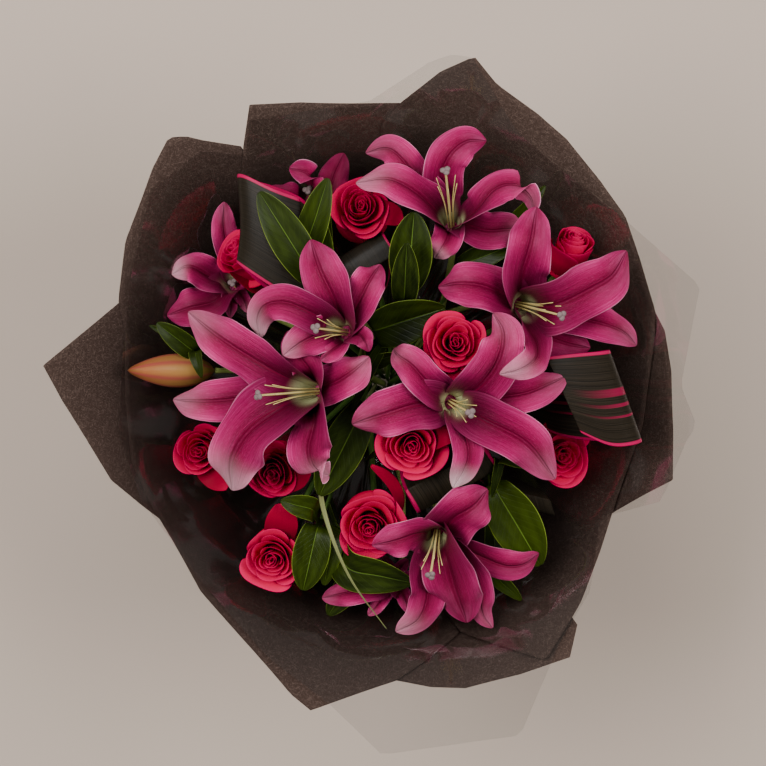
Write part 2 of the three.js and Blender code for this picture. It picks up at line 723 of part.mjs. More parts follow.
// The point of a rising path at a height.
function pointAtHeight(path, z) {
  let [low, high] = [0, 1];
  for (let pass = 0; pass < 24; pass += 1) {
    const middle = (low + high) / 2;
    if (path.getPoint(middle).z < z) {
      low = middle;
    } else {
      high = middle;
    }
  }
  return path.getPoint(low);
}

function leafWidth(width) {
  return (v) => {
    const share = Math.max((v - LEAF_STALK) / (1 - LEAF_STALK), 0);
    return Math.max(width * Math.sin(Math.PI * (0.96 * share + 0.03)) ** 0.7, 2.2);
  };
}

// The leaves leave the stem one above the other.
function sprayLeaf(stemPath, n, { base, tip, width }) {
  const from = seen(...base);
  const to = seen(...tip);
  const top = stemPath.getPoint(1);
  const start = pointAtHeight(stemPath, Math.min(from.z - 14, top.z - 3 - LEAF_SPACING * n));
  const middle = from.clone().lerp(to, 0.5).add(new THREE.Vector3(0, 0, 3));
  const onward = to.clone().sub(from);
  const side = new THREE.Vector3().crossVectors(UP, onward).normalize().negate();
  const folded = (s, v) => 0.3 * Math.abs(s) * (v < LEAF_STALK ? 0 : 1);
  const rise = start.clone().lerp(from, 0.6).add(new THREE.Vector3(0, 0, -3));
  const path = [start, rise, from, middle, to];
  return blade(2, width > 25 ? 4 : 3, LEAF, strip(path, side, leafWidth(width), folded));
}

function spray({ top, leaves }, stem) {
  const end = seen(...top);
  const run = [...lowerRun(stem), onTheWay(stem, end, 235), end];
  const path = new THREE.CatmullRomCurve3(run, false, 'centripetal');
  const bare = tube(run, stem.radius, 4, 7).intersect(UPPER_SPACE);
  return join([bare, ...leaves.map((leaf, n) => sprayLeaf(path, n, leaf))]);
}

function loopLeaf({ fold, width, path }, stem) {
  const places = path.map((place) => seen(...place));
  const start = onTheWay(stem, places[0], 225);
  const side = new THREE.Vector3(fold[0], fold[1], 0);
  const onward = places[1].clone().sub(places[0]);
  if (side.clone().cross(onward).z < 0) {
    side.negate();
  }
  const widthAt = (v) => 5 + (width - 5) * THREE.MathUtils.smoothstep(v, 0.42, 0.64);
  const lowered = start.clone().lerp(places[0], 0.5);
  const flat = () => 0;
  const leaf = blade(2, 9, LEAF, strip([start, lowered, ...places], side, widthAt, flat));
  return bareStem(stem, [onTheWay(stem, places[0], 232)], 4, 6).add(leaf);
}

function grassBlade(stem) {
  const places = GRASS.path.map((place) => seen(...place));
  const lower = [-12, 40, 95, 150, 185, 250, 300].map((z) => onTheWay(stem, places[0], z));
  const side = new THREE.Vector3(1, 0.3, 0);
  const widthAt = (v) => Math.max(GRASS.width * Math.min(1, (1 - v) * 4), 1.2);
  const keel = (s, v) => 0.35 * Math.abs(s) * v;
  const leaf = blade(2, 11, LEAF, strip([...lower, ...places], side, widthAt, keel));
  return leaf.intersect(UPPER_SPACE);
}

// ---- the wrap -----------------------------------------------------------------------------

function wallHeight(r) {
  const waistTop = TIE_HEIGHT + TIE_BAND / 2;
  const steep = (KNEE_HEIGHT - waistTop) / (KNEE_RADIUS - WAIST_RADIUS);
  return r < KNEE_RADIUS
    ? waistTop + steep * (r - WAIST_RADIUS)
    : KNEE_HEIGHT + WALL_SLOPE * (r - KNEE_RADIUS);
}

// One layer of the flared wall: skirt, waist and wall, turned about the axis.
function wallLayer(layer) {
  const off = layer * LAYER_STEP;
  const low = TIE_HEIGHT - TIE_BAND / 2;
  const inside = [WALL_REACH, KNEE_RADIUS, WAIST_RADIUS].map((r) => [r + off, wallHeight(r)]);
  inside.push([WAIST_RADIUS + off, low]);
  inside.push([WAIST_RADIUS + off + SKIRT_FLARE * SKIRT_DEPTH, low - SKIRT_DEPTH]);
  const outside = inside.map(([r, z]) => [r + SHEET * 1.25, z]).reverse();
  return turned([...outside, ...inside, outside[0]], WALL_SIDES);
}

function onWall([x, y]) {
  let point = new THREE.Vector3(x, y, 0);
  for (let pass = 0; pass < 4; pass += 1) {
    point = seen(x, y, wallHeight(Math.hypot(point.x, point.y)));
  }
  return new THREE.Vector2(point.x, point.y);
}

function cutFromLayer(layer, outline) {
  const shape = new THREE.Shape(outline.map(onWall));
  const prism = new THREE.ExtrudeGeometry(shape, { depth: 600, bevelEnabled: false });
  return wallLayer(layer).intersect(solid(prism));
}

function band(inner, thickness, height) {
  const [low, high] = [TIE_HEIGHT - height / 2, TIE_HEIGHT + height / 2];
  const outer = inner + thickness;
  return turned([[inner, low], [outer, low], [outer, high], [inner, high], [inner, low]], WALL_SIDES);
}

// The ribbon round the waist, with its knot.
function ribbon() {
  const inner = WAIST_RADIUS + 6 * LAYER_STEP + SHEET * 1.25 + 0.5;
  const knot = new THREE.SphereGeometry(7, 6, 4).scale(1.3, 0.7, 1);
  knot.translate(0, -(inner + RIBBON_THICKNESS + 3), TIE_HEIGHT);
  return band(inner, RIBBON_THICKNESS, TIE_BAND).add(solid(knot));
}

// ---- putting the bouquet together ---------------------------------------------------------

// The same solid, every corner moved outwards: what it takes out of a later neighbour.
function swollen(body, distance) {
  const geometry = geometryOf(body);
  const { position, normal } = geometry.attributes;
  const moved = new Float32Array(position.array);
  for (let k = 0; k < moved.length; k += 1) {
    moved[k] += normal.array[k] * distance;
  }
  const mesh = new wasm.Mesh({ numProp: 3, vertProperties: moved, triVerts: geometry.index.array });
  return new wasm.Manifold(mesh);
}

function boxesMeet(a, b) {
  return [0, 1, 2].every((k) => a.min[k] < b.max[k] && b.min[k] < a.max[k]);
}

function largestPiece(body) {
  const pieces = body.decompose();
  return pieces.reduce((best, piece) => (piece.volume() > best.volume() ? piece : best));
}

const bouquet = new THREE.Group();
const inPlace = [];

// Adds a piece, trimmed back where a piece that is already there is in its way.
function add(name, body, material, trimmed = true) {
  let left = body;
  const box = body.boundingBox();
  for (const other of trimmed ? inPlace : []) {
    if (boxesMeet(box, other.box)) {
      left = left.subtract(other.cutter);
    }
  }
  left = largestPiece(left);
  const cutter = swollen(left, CLEARANCE);
  inPlace.push({ box: cutter.boundingBox(), cutter });
  const mesh = new THREE.Mesh(geometryOf(left), material);
  mesh.name = name;
  bouquet.add(mesh);
}

// Every stem starts in the bundle right under what it carries.
const stemUnder = (point, radius) => ({ root: rootUnder(point), radius });

const branches = LILY_STEMS.map((numbers) => {
  const heads = numbers.map((n) => lilyFrame(LILIES[n]).root);
  const middle = heads.reduce((sum, head) => sum.add(head.clone()), new THREE.Vector3());
  middle.divideScalar(heads.length);
  return new THREE.Vector3(middle.x * 0.62, middle.y * 0.62, 252);
});
const roseStems = ROSES.map((rose) => stemUnder(roseFrame(rose).base, ROSE_STEM));
const lilyStems = branches.map((branch) => stemUnder(branch, LILY_STEM));
const sprayStems = SPRAYS.map(({ top }) => stemUnder(seen(...top), SPRAY_STEM));
const loopStems = LOOPS.map(({ path }) => stemUnder(seen(...path[0]), LOOP_STEM));
const grassStem = stemUnder(seen(...GRASS.path[0]), GRASS_STEM);
packBundle([...roseStems, ...lilyStems, ...sprayStems, ...loopStems, grassStem], lilyStems[MIDDLE_STEM]);

add('clear_film', cutFromLayer(0, FILM_OUTLINE), FINISHES.film, false);
for (const [name, { layer, outline }] of Object.entries(SHEETS)) {
  add(name, cutFromLayer(layer, outline), FINISHES.fibre, false);
}
add('ribbon', ribbon(), FINISHES.ribbon, false);
add('binding_twine', band(BUNDLE_RADIUS, TWINE_THICKNESS, TIE_BAND - 4), FINISHES.twine, false);

ROSES.forEach((rose, n) => add(`rose_stem_${n + 1}`, roseStem(rose, roseStems[n]), FINISHES.roseStem));
LILY_STEMS.forEach((numbers, n) => {
  let body = lilyStem(numbers, lilyStems[n], branches[n]);
  if (n === BUD_STEM) {
    const base = seen(...BUD.base);
    body = body.add(tube([branches[n], base.clone().add(new THREE.Vector3(12, 0, -14)), base], 2.4, 5, 5));
  }
  add(`lily_stem_${n + 1}`, body, FINISHES.lilyStem);
});
ROSES.forEach((rose, n) => add(`rose_${n + 1}`, roseBloom(rose, n), FINISHES.rose));
LILIES.forEach((lily, n) => add(`lily_${n + 1}`, lilyBloom(lily), FINISHES.lily));
add('lily_bud', budSolid(seen(...BUD.base), seen(...BUD.tip)), FINISHES.bud);
LOOPS.forEach((loop, n) => add(`cordyline_${n + 1}`, loopLeaf(loop, loopStems[n]), FINISHES.cordyline));
add('grass_blade', grassBlade(grassStem), FINISHES.grass);
SPRAYS.forEach((one, n) => add(`leafy_spray_${n + 1}`, spray(one, sprayStems[n]), FINISHES.leaf));

const middle = new THREE.Box3().setFromObject(bouquet).getCenter(new THREE.Vector3());
for (const mesh of bouquet.children) {
  mesh.geometry.translate(-middle.x, -middle.y, 0);
}

export default bouquet;
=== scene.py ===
# %% [markdown]
# # A hand-tied bouquet in its wrap
#
# Roses, trumpet lilies, looped cordyline leaves and leafy sprays are tied in a spiral, wrapped in
# sheets of dark fibre over a clear film, and looked at from straight above. The bouquet's solid
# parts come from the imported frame. This notebook gives each of them its finer form and finish.

import math
import random

import bmesh
import bpy
from mathutils import Matrix, Vector
from mathutils.geometry import interpolate_bezier


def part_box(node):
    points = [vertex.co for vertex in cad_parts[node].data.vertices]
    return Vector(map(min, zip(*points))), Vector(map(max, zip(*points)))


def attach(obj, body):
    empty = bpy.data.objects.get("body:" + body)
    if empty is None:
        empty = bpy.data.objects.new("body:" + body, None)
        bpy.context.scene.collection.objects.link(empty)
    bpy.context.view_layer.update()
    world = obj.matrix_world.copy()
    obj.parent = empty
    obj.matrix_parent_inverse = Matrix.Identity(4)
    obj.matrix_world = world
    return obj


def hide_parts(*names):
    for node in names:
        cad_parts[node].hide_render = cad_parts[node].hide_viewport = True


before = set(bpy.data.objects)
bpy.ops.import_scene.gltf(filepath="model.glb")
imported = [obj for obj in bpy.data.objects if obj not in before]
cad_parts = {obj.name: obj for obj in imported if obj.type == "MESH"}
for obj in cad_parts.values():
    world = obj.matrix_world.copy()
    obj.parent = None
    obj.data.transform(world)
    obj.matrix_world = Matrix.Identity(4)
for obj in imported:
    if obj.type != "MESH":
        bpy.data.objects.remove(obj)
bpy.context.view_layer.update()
print("CAD nodes:", len(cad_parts))

# %% [markdown]
# ## Where things are
#
# The binding twine is a ring round the axis of the stems' spiral, so the middle of its box gives
# that axis. A place in the bouquet is easiest to name as it looks from above: how far to the right
# and up from the axis, in millimetres at the level of the blooms, and how high it is. `seen` turns
# such a place into a real point, because what is nearer to the eye looks larger.

# %% Places seen from above
MM = 0.001
EYE_HEIGHT = 2.0
BLOOM_LEVEL = 0.4
UP = Vector((0, 0, 1))

twine_low, twine_high = (Vector(corner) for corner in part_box("binding_twine"))
AXIS = (twine_low + twine_high) / 2
AXIS.z = 0


def seen(x, y, z):
    nearness = (EYE_HEIGHT - z * MM) / (EYE_HEIGHT - BLOOM_LEVEL)
    return AXIS + Vector((x * MM * nearness, y * MM * nearness, z * MM))


def leaning(lean, toward):
    out = math.sin(math.radians(lean))
    direction = math.radians(toward)
    return Vector((out * math.cos(direction), out * math.sin(direction), math.cos(math.radians(lean))))


def set_down(base, axis, spin=0.0):
    tilt = UP.rotation_difference(axis).to_matrix().to_4x4()
    return Matrix.Translation(base) @ tilt @ Matrix.Rotation(spin, 4, "Z")


print("axis of the spiral:", [round(a, 4) for a in AXIS])

# %% [markdown]
# ## Helpers for thin living things
#
# Petals, leaves and stems all follow a smooth path. `flow` draws that path through a few points
# and returns it as evenly spaced ones. A petal or a leaf is then a flat grid, laid along the path
# and bent: that keeps its faces in neat rows, so its veins can follow the UV map. A stem is the
# same grid rolled into a tube, with its seam merged and its ends closed.

# %% Smooth paths
def flow(points, count):
    ends = [2 * points[0] - points[1], *points, 2 * points[-1] - points[-2]]
    fine = []
    for a, b, c, d in zip(ends, ends[1:], ends[2:], ends[3:]):
        before, here, after = (max((q - p).length, 1e-9) ** 0.5 for p, q in ((a, b), (b, c), (c, d)))
        leave = ((b - a) / before - (c - a) / (before + here) + (c - b) / here) * here
        arrive = ((c - b) / here - (d - b) / (here + after) + (d - c) / after) * here
        fine += interpolate_bezier(b, b + leave / 3, c - arrive / 3, c, 16)
    travelled = [0.0]
    for p, q in zip(fine, fine[1:]):
        travelled.append(travelled[-1] + (q - p).length)
    path, k = [], 0
    for n in range(count + 1):
        goal = travelled[-1] * n / count
        while k < len(fine) - 2 and travelled[k + 1] < goal:
            k += 1
        gap = travelled[k + 1] - travelled[k]
        share = (goal - travelled[k]) / gap if gap > 0 else 0.0
        path.append(fine[k].lerp(fine[k + 1], min(max(share, 0.0), 1.0)))
    return path


def carried_along(path, side):
    """For each point of a path: the direction across it, carried without twist, and the one it faces."""
    carried, frames = side.copy(), []
    last = len(path) - 1
    for k in range(last + 1):
        onward = (path[min(k + 1, last)] - path[max(k - 1, 0)]).normalized()
        carried = (carried - onward * carried.dot(onward)).normalized()
        frames.append((carried.copy(), carried.cross(onward)))
    return frames


# %% [markdown]
# A flat grid gets its UV map before it is bent, so the map keeps the directions across and along
# the blade. Every blade also keeps a number, its tone, that its finish can read.

# %% Grids laid as petals, leaves and tubes
def fresh():
    bm = bmesh.new()
    bm.loops.layers.uv.new("UVMap")
    bm.verts.layers.float.new("tone")
    return bm


def lay_grid(bm, across, along, place, tone=0.0, finish=0):
    """Lays a grid on the surface place(u, v), and keeps u and v as its UV map."""
    uv = bm.loops.layers.uv["UVMap"]
    shade = bm.verts.layers.float["tone"]
    made = bmesh.ops.create_grid(bm, x_segments=across, y_segments=along, size=0.5)["verts"]
    for face in {face for vert in made for face in vert.link_faces}:
        face.material_index = finish
        face.smooth = True
        for loop in face.loops:
            loop[uv].uv = (loop.vert.co.x + 0.5, loop.vert.co.y + 0.5)
    for vert in made:
        vert[shade] = tone
        vert.co = place(vert.co.x + 0.5, vert.co.y + 0.5)
    return made


def lay_strip(bm, points, side, across, along, width, lift, tone=0.0, finish=0, twist=0.0, level=0.0):
    """A blade along a path. width(v) is its width, lift(s, v) how far it stands off the flat at
    s, from -1 to 1 across, as a share of its half width, and twist the turn from end to end.
    level is how far its outer part turns to lie level across."""
    path = flow(points, along)
    frames = carried_along(path, side)

    def place(u, v):
        k = round(v * along)
        s, half, turn = 2 * u - 1, width(v) / 2, twist * v * v
        across_it, facing = frames[k]
        onward = across_it.cross(facing)
        flat = onward.cross(UP)
        if level and flat.length > 0.25:
            share = level * smooth_step(v, 0.25, 0.7) * smooth_step(flat.length, 0.25, 0.7)
            flat = flat.normalized() * math.copysign(1, flat.dot(across_it))
            across_it = across_it.lerp(flat, share).normalized()
            facing = across_it.cross(onward) * math.copysign(1, facing.dot(across_it.cross(onward)))
        turned = across_it * math.cos(turn) + facing * math.sin(turn)
        raised = facing * math.cos(turn) - across_it * math.sin(turn)
        return path[k] + turned * (s * half) + raised * (lift(s, v) * half)

    return lay_grid(bm, across, along, place, tone, finish)


def lay_tube(bm, points, radius, sides=10, along=12, finish=0, tone=0.0):
    path = flow(points, along)
    first = path[1] - path[0]
    side = first.orthogonal().normalized()
    frames = carried_along(path, side)

    def place(u, v):
        k = round(v * along)
        across_it, facing = frames[k]
        angle = -2 * math.pi * u
        return path[k] + (across_it * math.cos(angle) + facing * math.sin(angle)) * radius(v)

    made = lay_grid(bm, sides, along, place, tone, finish)
    bmesh.ops.remove_doubles(bm, verts=made, dist=1e-7)
    ends = [edge for vert in made if vert.is_valid for edge in vert.link_edges if edge.is_boundary]
    for face in bmesh.ops.holes_fill(bm, edges=list(set(ends)), sides=0)["faces"]:
        face.material_index = finish
    return made


def piece(name, bm, finishes, nodes, wall=None, rounds=0, lined=False):
    """Makes the mesh an object that stands for the CAD nodes and rides on the bouquet. A lined
    wall has the next finish on its inner side."""
    mesh = bpy.data.meshes.new(name)
    bm.to_mesh(mesh)
    bm.free()
    made = bpy.data.objects.new(name, mesh)
    bpy.context.collection.objects.link(made)
    for finish in finishes:
        mesh.materials.append(finish.material)
    if wall:
        solidify = made.modifiers.new("wall", "SOLIDIFY")
        solidify.thickness = wall
        solidify.offset = 0
        solidify.material_offset = int(lined)
    if rounds:
        subdivide = made.modifiers.new("rounds", "SUBSURF")
        subdivide.levels = subdivide.render_levels = rounds
    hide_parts(*nodes)
    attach(made, "root")
    return made


def smooth_step(x, low, high):
    t = min(max((x - low) / (high - low), 0.0), 1.0)
    return t * t * (3 - 2 * t)


# %% [markdown]
# ## Where the stems run
#
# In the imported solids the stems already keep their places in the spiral. Cutting a stem's solid
# with a level plane gives the middle of the stem at that height, so the round stems below follow
# the solid ones without any of the packing being worked out twice.

# %% The middle of a stem at a height
def stem_middle(node, level):
    bm = bmesh.new()
    bm.from_mesh(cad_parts[node].data)
    whole = bm.verts[:] + bm.edges[:] + bm.faces[:]
    cut = bmesh.ops.bisect_plane(bm, geom=whole, plane_co=(0, 0, level * MM), plane_no=(0, 0, 1))
    spots = [part.co.copy() for part in cut["geom_cut"] if isinstance(part, bmesh.types.BMVert)]
    bm.free()
    low = Vector((min(p.x for p in spots), min(p.y for p in spots), level * MM))
    high = Vector((max(p.x for p in spots), max(p.y for p in spots), level * MM))
    return (low + high) / 2


def lower_run(node, *more):
    return [stem_middle(node, level) for level in (0.3, 40, 95, 150, 185, *more)]


# %% [markdown]
# ## The camera
#
# The photograph looks straight down, with a lens long enough that the flowers hardly lean outwards.
# The camera stands over the middle of the picture, two metres above the floor.

# %% Camera
CAMERA_LENS = 94

eye = bpy.data.cameras.new("camera")
eye.lens = CAMERA_LENS
eye.sensor_width = 36
camera = bpy.data.objects.new("camera", eye)
camera.location = AXIS + Vector((0, 0, EYE_HEIGHT))
bpy.context.collection.objects.link(camera)
bpy.context.scene.camera = camera
print("camera at:", [round(a, 3) for a in camera.location])

# %% [markdown]
# ## Writing finishes as sums
#
# A finish is a small program made of nodes. The class `Wire` holds one output of a node and
# overloads the signs for sums, so `1 - mask * 0.5` adds its Math nodes by itself. `Finish.node`
# adds any other node: its kind, its settings, and what goes into its sockets.

# %% Wires and finishes
def paint(red, green, blue):
    """A colour given as it is seen on a screen, from 0 to 255, as the light that it reflects."""
    shares = (value / 255 for value in (red, green, blue))
    return (*(s / 12.92 if s <= 0.04045 else ((s + 0.055) / 1.055) ** 2.4 for s in shares), 1.0)


class Wire:
    def __init__(self, finish, socket):
        self.finish = finish
        self.socket = socket

    def maths(self, operation, *values):
        return self.finish.node("ShaderNodeMath", {"operation": operation}, dict(enumerate(values)))

    def __add__(self, other):
        return self.maths("ADD", self, other)

    def __sub__(self, other):
        return self.maths("SUBTRACT", self, other)

    def __rsub__(self, other):
        return self.maths("SUBTRACT", other, self)

    def __mul__(self, other):
        return self.maths("MULTIPLY", self, other)

    def __pow__(self, other):
        return self.maths("POWER", self, other)

    def __abs__(self):
        return self.maths("ABSOLUTE", self)

    __radd__ = __add__
    __rmul__ = __mul__

    def sine(self):
        return self.maths("SINE", self)

    def between(self, low, high):
        """0 below low, 1 above high, and a smooth rise in between."""
        span = {0: self, 1: low, 2: high}
        return self.finish.node("ShaderNodeMapRange", {"interpolation_type": "SMOOTHSTEP"}, span)


class Finish:
    def __init__(self, name, **constants):
        self.material = bpy.data.materials.new(name)
        self.material.use_nodes = True
        self.tree = self.material.node_tree
        self.shader = self.tree.nodes["Principled BSDF"]
        for socket, value in constants.items():
            self.shader.inputs[socket.replace("_", " ")].default_value = value

    def node(self, kind, settings=(), inputs=(), out=0):
        made = self.tree.nodes.new(kind)
        for name, value in dict(settings).items():
            if name == "stops":
                first, last = made.color_ramp.elements
                (first.position, first.color), (last.position, last.color) = value[0], value[-1]
                for at, colour in value[1:-1]:
                    made.color_ramp.elements.new(at).color = colour
            else:
                setattr(made, name, value)
        for name, value in dict(inputs).items():
            if isinstance(value, Wire):
                self.tree.links.new(value.socket, made.inputs[name])
            else:
                made.inputs[name].default_value = value
        return Wire(self, made.outputs[out])

    def into(self, socket, wire):
        self.tree.links.new(wire.socket, self.shader.inputs[socket])

    def mix(self, first, second, share):
        return self.node("ShaderNodeMix", {"data_type": "RGBA"}, {0: share, 6: first, 7: second}, out=2)

    def coats(self, colour, *coats):
        """Lays coats over a colour, each given as its paint and its share."""
        for coat, share in coats:
            colour = self.mix(colour, coat, share)
        return colour

    def ramp(self, value, *stops):
        return self.node("ShaderNodeValToRGB", {"stops": stops}, {0: value})

    def flat_map(self):
        return self.node("ShaderNodeUVMap", {"uv_map": "UVMap"})

    def solid_map(self):
        return self.node("ShaderNodeTexCoord", out="Object")

    def uv(self):
        """The two directions of the UV map: across and along."""
        split = self.node("ShaderNodeSeparateXYZ", (), {0: self.flat_map()})
        return split, Wire(self, split.socket.node.outputs[1])

    def tone(self):
        return self.node("ShaderNodeAttribute", {"attribute_name": "tone"}, out="Fac")

    def stretched(self, across, along):
        """The UV map with so many times as many steps across and along."""
        return self.node("ShaderNodeMapping", (), {"Vector": self.flat_map(), "Scale": (across, along, 1)})

    def clouds(self, where, scale=1.0, detail=2.0):
        grown = {"Vector": where, "Scale": scale, "Detail": detail}
        return self.node("ShaderNodeTexNoise", (), grown, out="Fac")

    def bump(self, height, distance, strength=1.0):
        pressed = {"Height": height, "Distance": distance, "Strength": strength}
        self.into("Normal", self.node("ShaderNodeBump", (), pressed))


# %% [markdown]
# ## The roses' finish
#
# A rose's petal is soft as velvet: deep crimson where it is rooted and hot pink towards its rim.
# Fine veins run from root to rim, so their noise is stretched that way. It reflects little, or
# the colour would look washed out. The number kept on each petal makes neighbours differ a
# little. The loose outer petals that stand away from a bloom get a darker finish: painted shade.

# %% Rose petal finish
RISE_OF_SHADES = (0.1, 0.5, 0.86, 1.0)


def rose_finish(name, *shades):
    """shades: the colours of the root, the middle, the upper part and the rim."""
    made = Finish(name, Roughness=0.55, Specular_IOR_Level=0.12)
    veins = made.clouds(made.stretched(22, 1.3), detail=3)
    rise = made.uv()[1] + (veins - 0.5) * 0.12
    colour = made.ramp(rise, *zip(RISE_OF_SHADES, shades))
    made.into("Base Color", made.mix(colour, shades[-1], made.tone()))
    made.bump(veins, 0.4 * MM, 0.5)
    return made


rose_petal = rose_finish(
    "rose_petal", paint(136, 0, 34), paint(188, 0, 54), paint(192, 0, 62), paint(196, 0, 76)
)
# The loose petals' finish is darker all over, deepest at the root: painted shade.
rose_petal_shaded = rose_finish(
    "rose_petal_shaded", paint(40, 0, 9), paint(98, 0, 24), paint(136, 0, 38), paint(164, 0, 52)
)
print("finishes made:", rose_petal.material.name, rose_petal_shaded.material.name)

# %% [markdown]
# ## The lilies' finish
#
# A lily's tepal is satin rather than velvet. It is pale green in the throat, a dark wine red above
# it, partly its own colour and partly painted shade deep in the trumpet, deep magenta along its
# midrib, rose pink towards its tip, and pale on its thin margin. Fine lines and finer threads run
# along it. All that is laid in coats over one ramp from the midrib to the margin, because each
# coat then has its own place along and across. The number kept on a tepal fades its outer part,
# or, where it is below nothing, darkens the whole tepal with painted shade.

# %% Lily tepal finish
lily_tepal = Finish("lily_tepal", Roughness=0.45, Specular_IOR_Level=0.22)
across, along = lily_tepal.uv()
from_rib = abs(across * 2 - 1)
lines = lily_tepal.clouds(lily_tepal.stretched(46, 1.3), detail=3)
threads = lily_tepal.clouds(lily_tepal.stretched(150, 5), detail=2)
blush = lily_tepal.clouds(lily_tepal.stretched(3, 2.4), detail=3)
grain = lily_tepal.clouds(lily_tepal.stretched(160, 40), detail=3)
beside_rib = from_rib.between(0.02, 0.05) * (1 - from_rib.between(0.09, 0.13))
star = (1 - along.between(0.1, 0.25)) * (1 - from_rib.between(0.3, 0.95))
margin = from_rib.between(0.95, 1.0) * along.between(0.3, 0.6)
rib_to_margin = lily_tepal.ramp(
    from_rib + (lines - 0.5) + (threads - 0.5) * 1.2,
    (0.0, paint(92, 0, 36)),
    (0.3, paint(126, 0, 56)),
    (0.75, paint(162, 12, 84)),
    (1.0, paint(196, 52, 118)),
)
tepal_colour = lily_tepal.coats(
    rib_to_margin,
    (paint(212, 92, 144), along.between(0.5, 1.0) * blush.between(0.35, 0.75) * 0.6),
    (paint(224, 104, 158), grain.between(0.45, 0.8) * 0.22),
    # Dark wine red over the lower tepal: partly the tepal's own colour, partly painted shade in the trumpet.
    (paint(56, 0, 24), (1 - along.between(0.2, 0.72)) * 0.85),
    (paint(96, 0, 36), beside_rib * along.between(0.15, 0.4) * 0.75),
    (paint(186, 190, 140), star),
    (paint(240, 184, 206), margin * 0.6),
    (paint(240, 200, 206), lily_tepal.tone() * along.between(0.66, 0.99)),
    # A tone below nothing darkens the whole tepal: painted shade.
    (paint(84, 2, 34), lily_tepal.tone() * -1),
)
lily_tepal.into("Base Color", tepal_colour)
lily_tepal.bump(lines * 0.8 + threads * 0.3 + (1 - from_rib.between(0.0, 0.1)) * -0.9, MM, 0.9)
print("finish made:", lily_tepal.material.name)

# %% [markdown]
# The filaments are pale and waxy, and the stigma is grey and rough with tiny hairs. The closed
# bud is still green at its foot and ripens to a dull orange, with a red line along each of its
# ribs. A sine across the UV map puts those lines where the ribs are.

# %% Filament, stigma and bud finishes
filament = Finish("lily_filament", Base_Color=paint(204, 184, 116), Roughness=0.45)
filament.bump(filament.clouds(filament.solid_map(), 500), 0.2 * MM)
stigma = Finish("lily_stigma", Base_Color=paint(122, 104, 104), Roughness=0.8, Specular_IOR_Level=0.1)
stigma.bump(stigma.clouds(stigma.solid_map(), 900), 0.4 * MM)

lily_bud_skin = Finish("lily_bud_skin", Roughness=0.45, Specular_IOR_Level=0.4)
across, along = lily_bud_skin.uv()
ribs = (across * (6 * math.pi)).sine()
ripeness = lily_bud_skin.ramp(
    along,
    (0.0, paint(96, 84, 28)),
    (0.3, paint(156, 114, 60)),
    (0.8, paint(148, 88, 50)),
    (1.0, paint(92, 60, 18)),
)
lily_bud_skin.into("Base Color", lily_bud_skin.mix(ripeness, paint(150, 56, 62), abs(ribs) ** 6 * 0.7))
lily_bud_skin.bump(lily_bud_skin.clouds(lily_bud_skin.stretched(40, 2)), 0.3 * MM)
print("finishes made:", filament.material.name, stigma.material.name, lily_bud_skin.material.name)

# %% [markdown]
# ## Leaf and stem finishes
#
# The green leaves are waxy: a pale midrib, side veins that lean forwards, and a thin pale margin.
# The side veins are a sine of the way along less the way from the midrib, which makes them lean.

# %% Green leaf finish
green_leaf = Finish(
    "green_leaf", Roughness=0.36, Specular_IOR_Level=0.22, Coat_Weight=0.05, Coat_Roughness=0.25
)
across, along = green_leaf.uv()
from_rib = abs(across * 2 - 1)
side_veins = ((along * 15 - from_rib * 3.2) * (2 * math.pi)).sine()
patches = green_leaf.clouds(green_leaf.stretched(5, 4), detail=3)
leaf_colour = green_leaf.coats(
    green_leaf.mix(paint(14, 20, 3), paint(36, 46, 10), patches.between(0.3, 0.75)),
    (paint(54, 72, 20), side_veins.between(0.9, 1.0) * 0.16),
    (paint(70, 90, 30), 1 - from_rib.between(0.01, 0.04)),
    (paint(128, 146, 52), from_rib.between(0.95, 0.99)),
    (paint(104, 128, 16), green_leaf.tone()),
)
green_leaf.into("Base Color", leaf_colour)
green_leaf.bump(side_veins.between(0.6, 1.0) * -0.25 + from_rib.between(0.0, 0.08), 0.5 * MM, 0.7)
print("finish made:", green_leaf.material.name)

# %% [markdown]
# The cordyline's long leaves are darker, with fine lines along them and pink edges. One of them
# also has pink lines where it is folded. How pink a leaf is comes from the number that it keeps.

# %% Cordyline finish
# Each pink line at the fold: its middle across the blade, and half its width.
PINK_LINES = ((0.44, 0.05), (0.58, 0.022), (0.7, 0.014))

cordyline_leaf = Finish(
    "cordyline_leaf", Roughness=0.38, Specular_IOR_Level=0.25, Coat_Weight=0.04, Coat_Roughness=0.25
)
across, along = cordyline_leaf.uv()
pinkness = cordyline_leaf.tone()
fine_lines = cordyline_leaf.clouds(cordyline_leaf.stretched(90, 1.2), detail=3)
at_fold = along.between(0.5, 0.62) * (1 - along.between(0.72, 0.98)) * pinkness.between(0.6, 0.9)
bent = across + (cordyline_leaf.clouds(cordyline_leaf.stretched(2, 4)) - 0.5) * 0.06
pink_coats = []
for middle, half in PINK_LINES:
    pink_line = 1 - abs(bent - middle).between(half * 0.7, half)
    pink_coats.append((paint(150, 2, 62), pink_line * at_fold * 0.9))
pink_edge = abs(across * 2 - 1).between(0.91, 0.94) * pinkness.between(0.1, 0.4)
blade_colour = cordyline_leaf.coats(
    cordyline_leaf.mix(paint(16, 13, 9), paint(50, 42, 32), fine_lines.between(0.3, 0.8)),
    *pink_coats,
    (paint(168, 4, 72), pink_edge),
)
cordyline_leaf.into("Base Color", blade_colour)
cordyline_leaf.bump(fine_lines, 0.3 * MM, 0.8)
print("finish made:", cordyline_leaf.material.name)

# %% [markdown]
# Grass and stems are plain greens with fine streaks along them: one noise, stretched along the
# piece, gives both the colour and the bump.

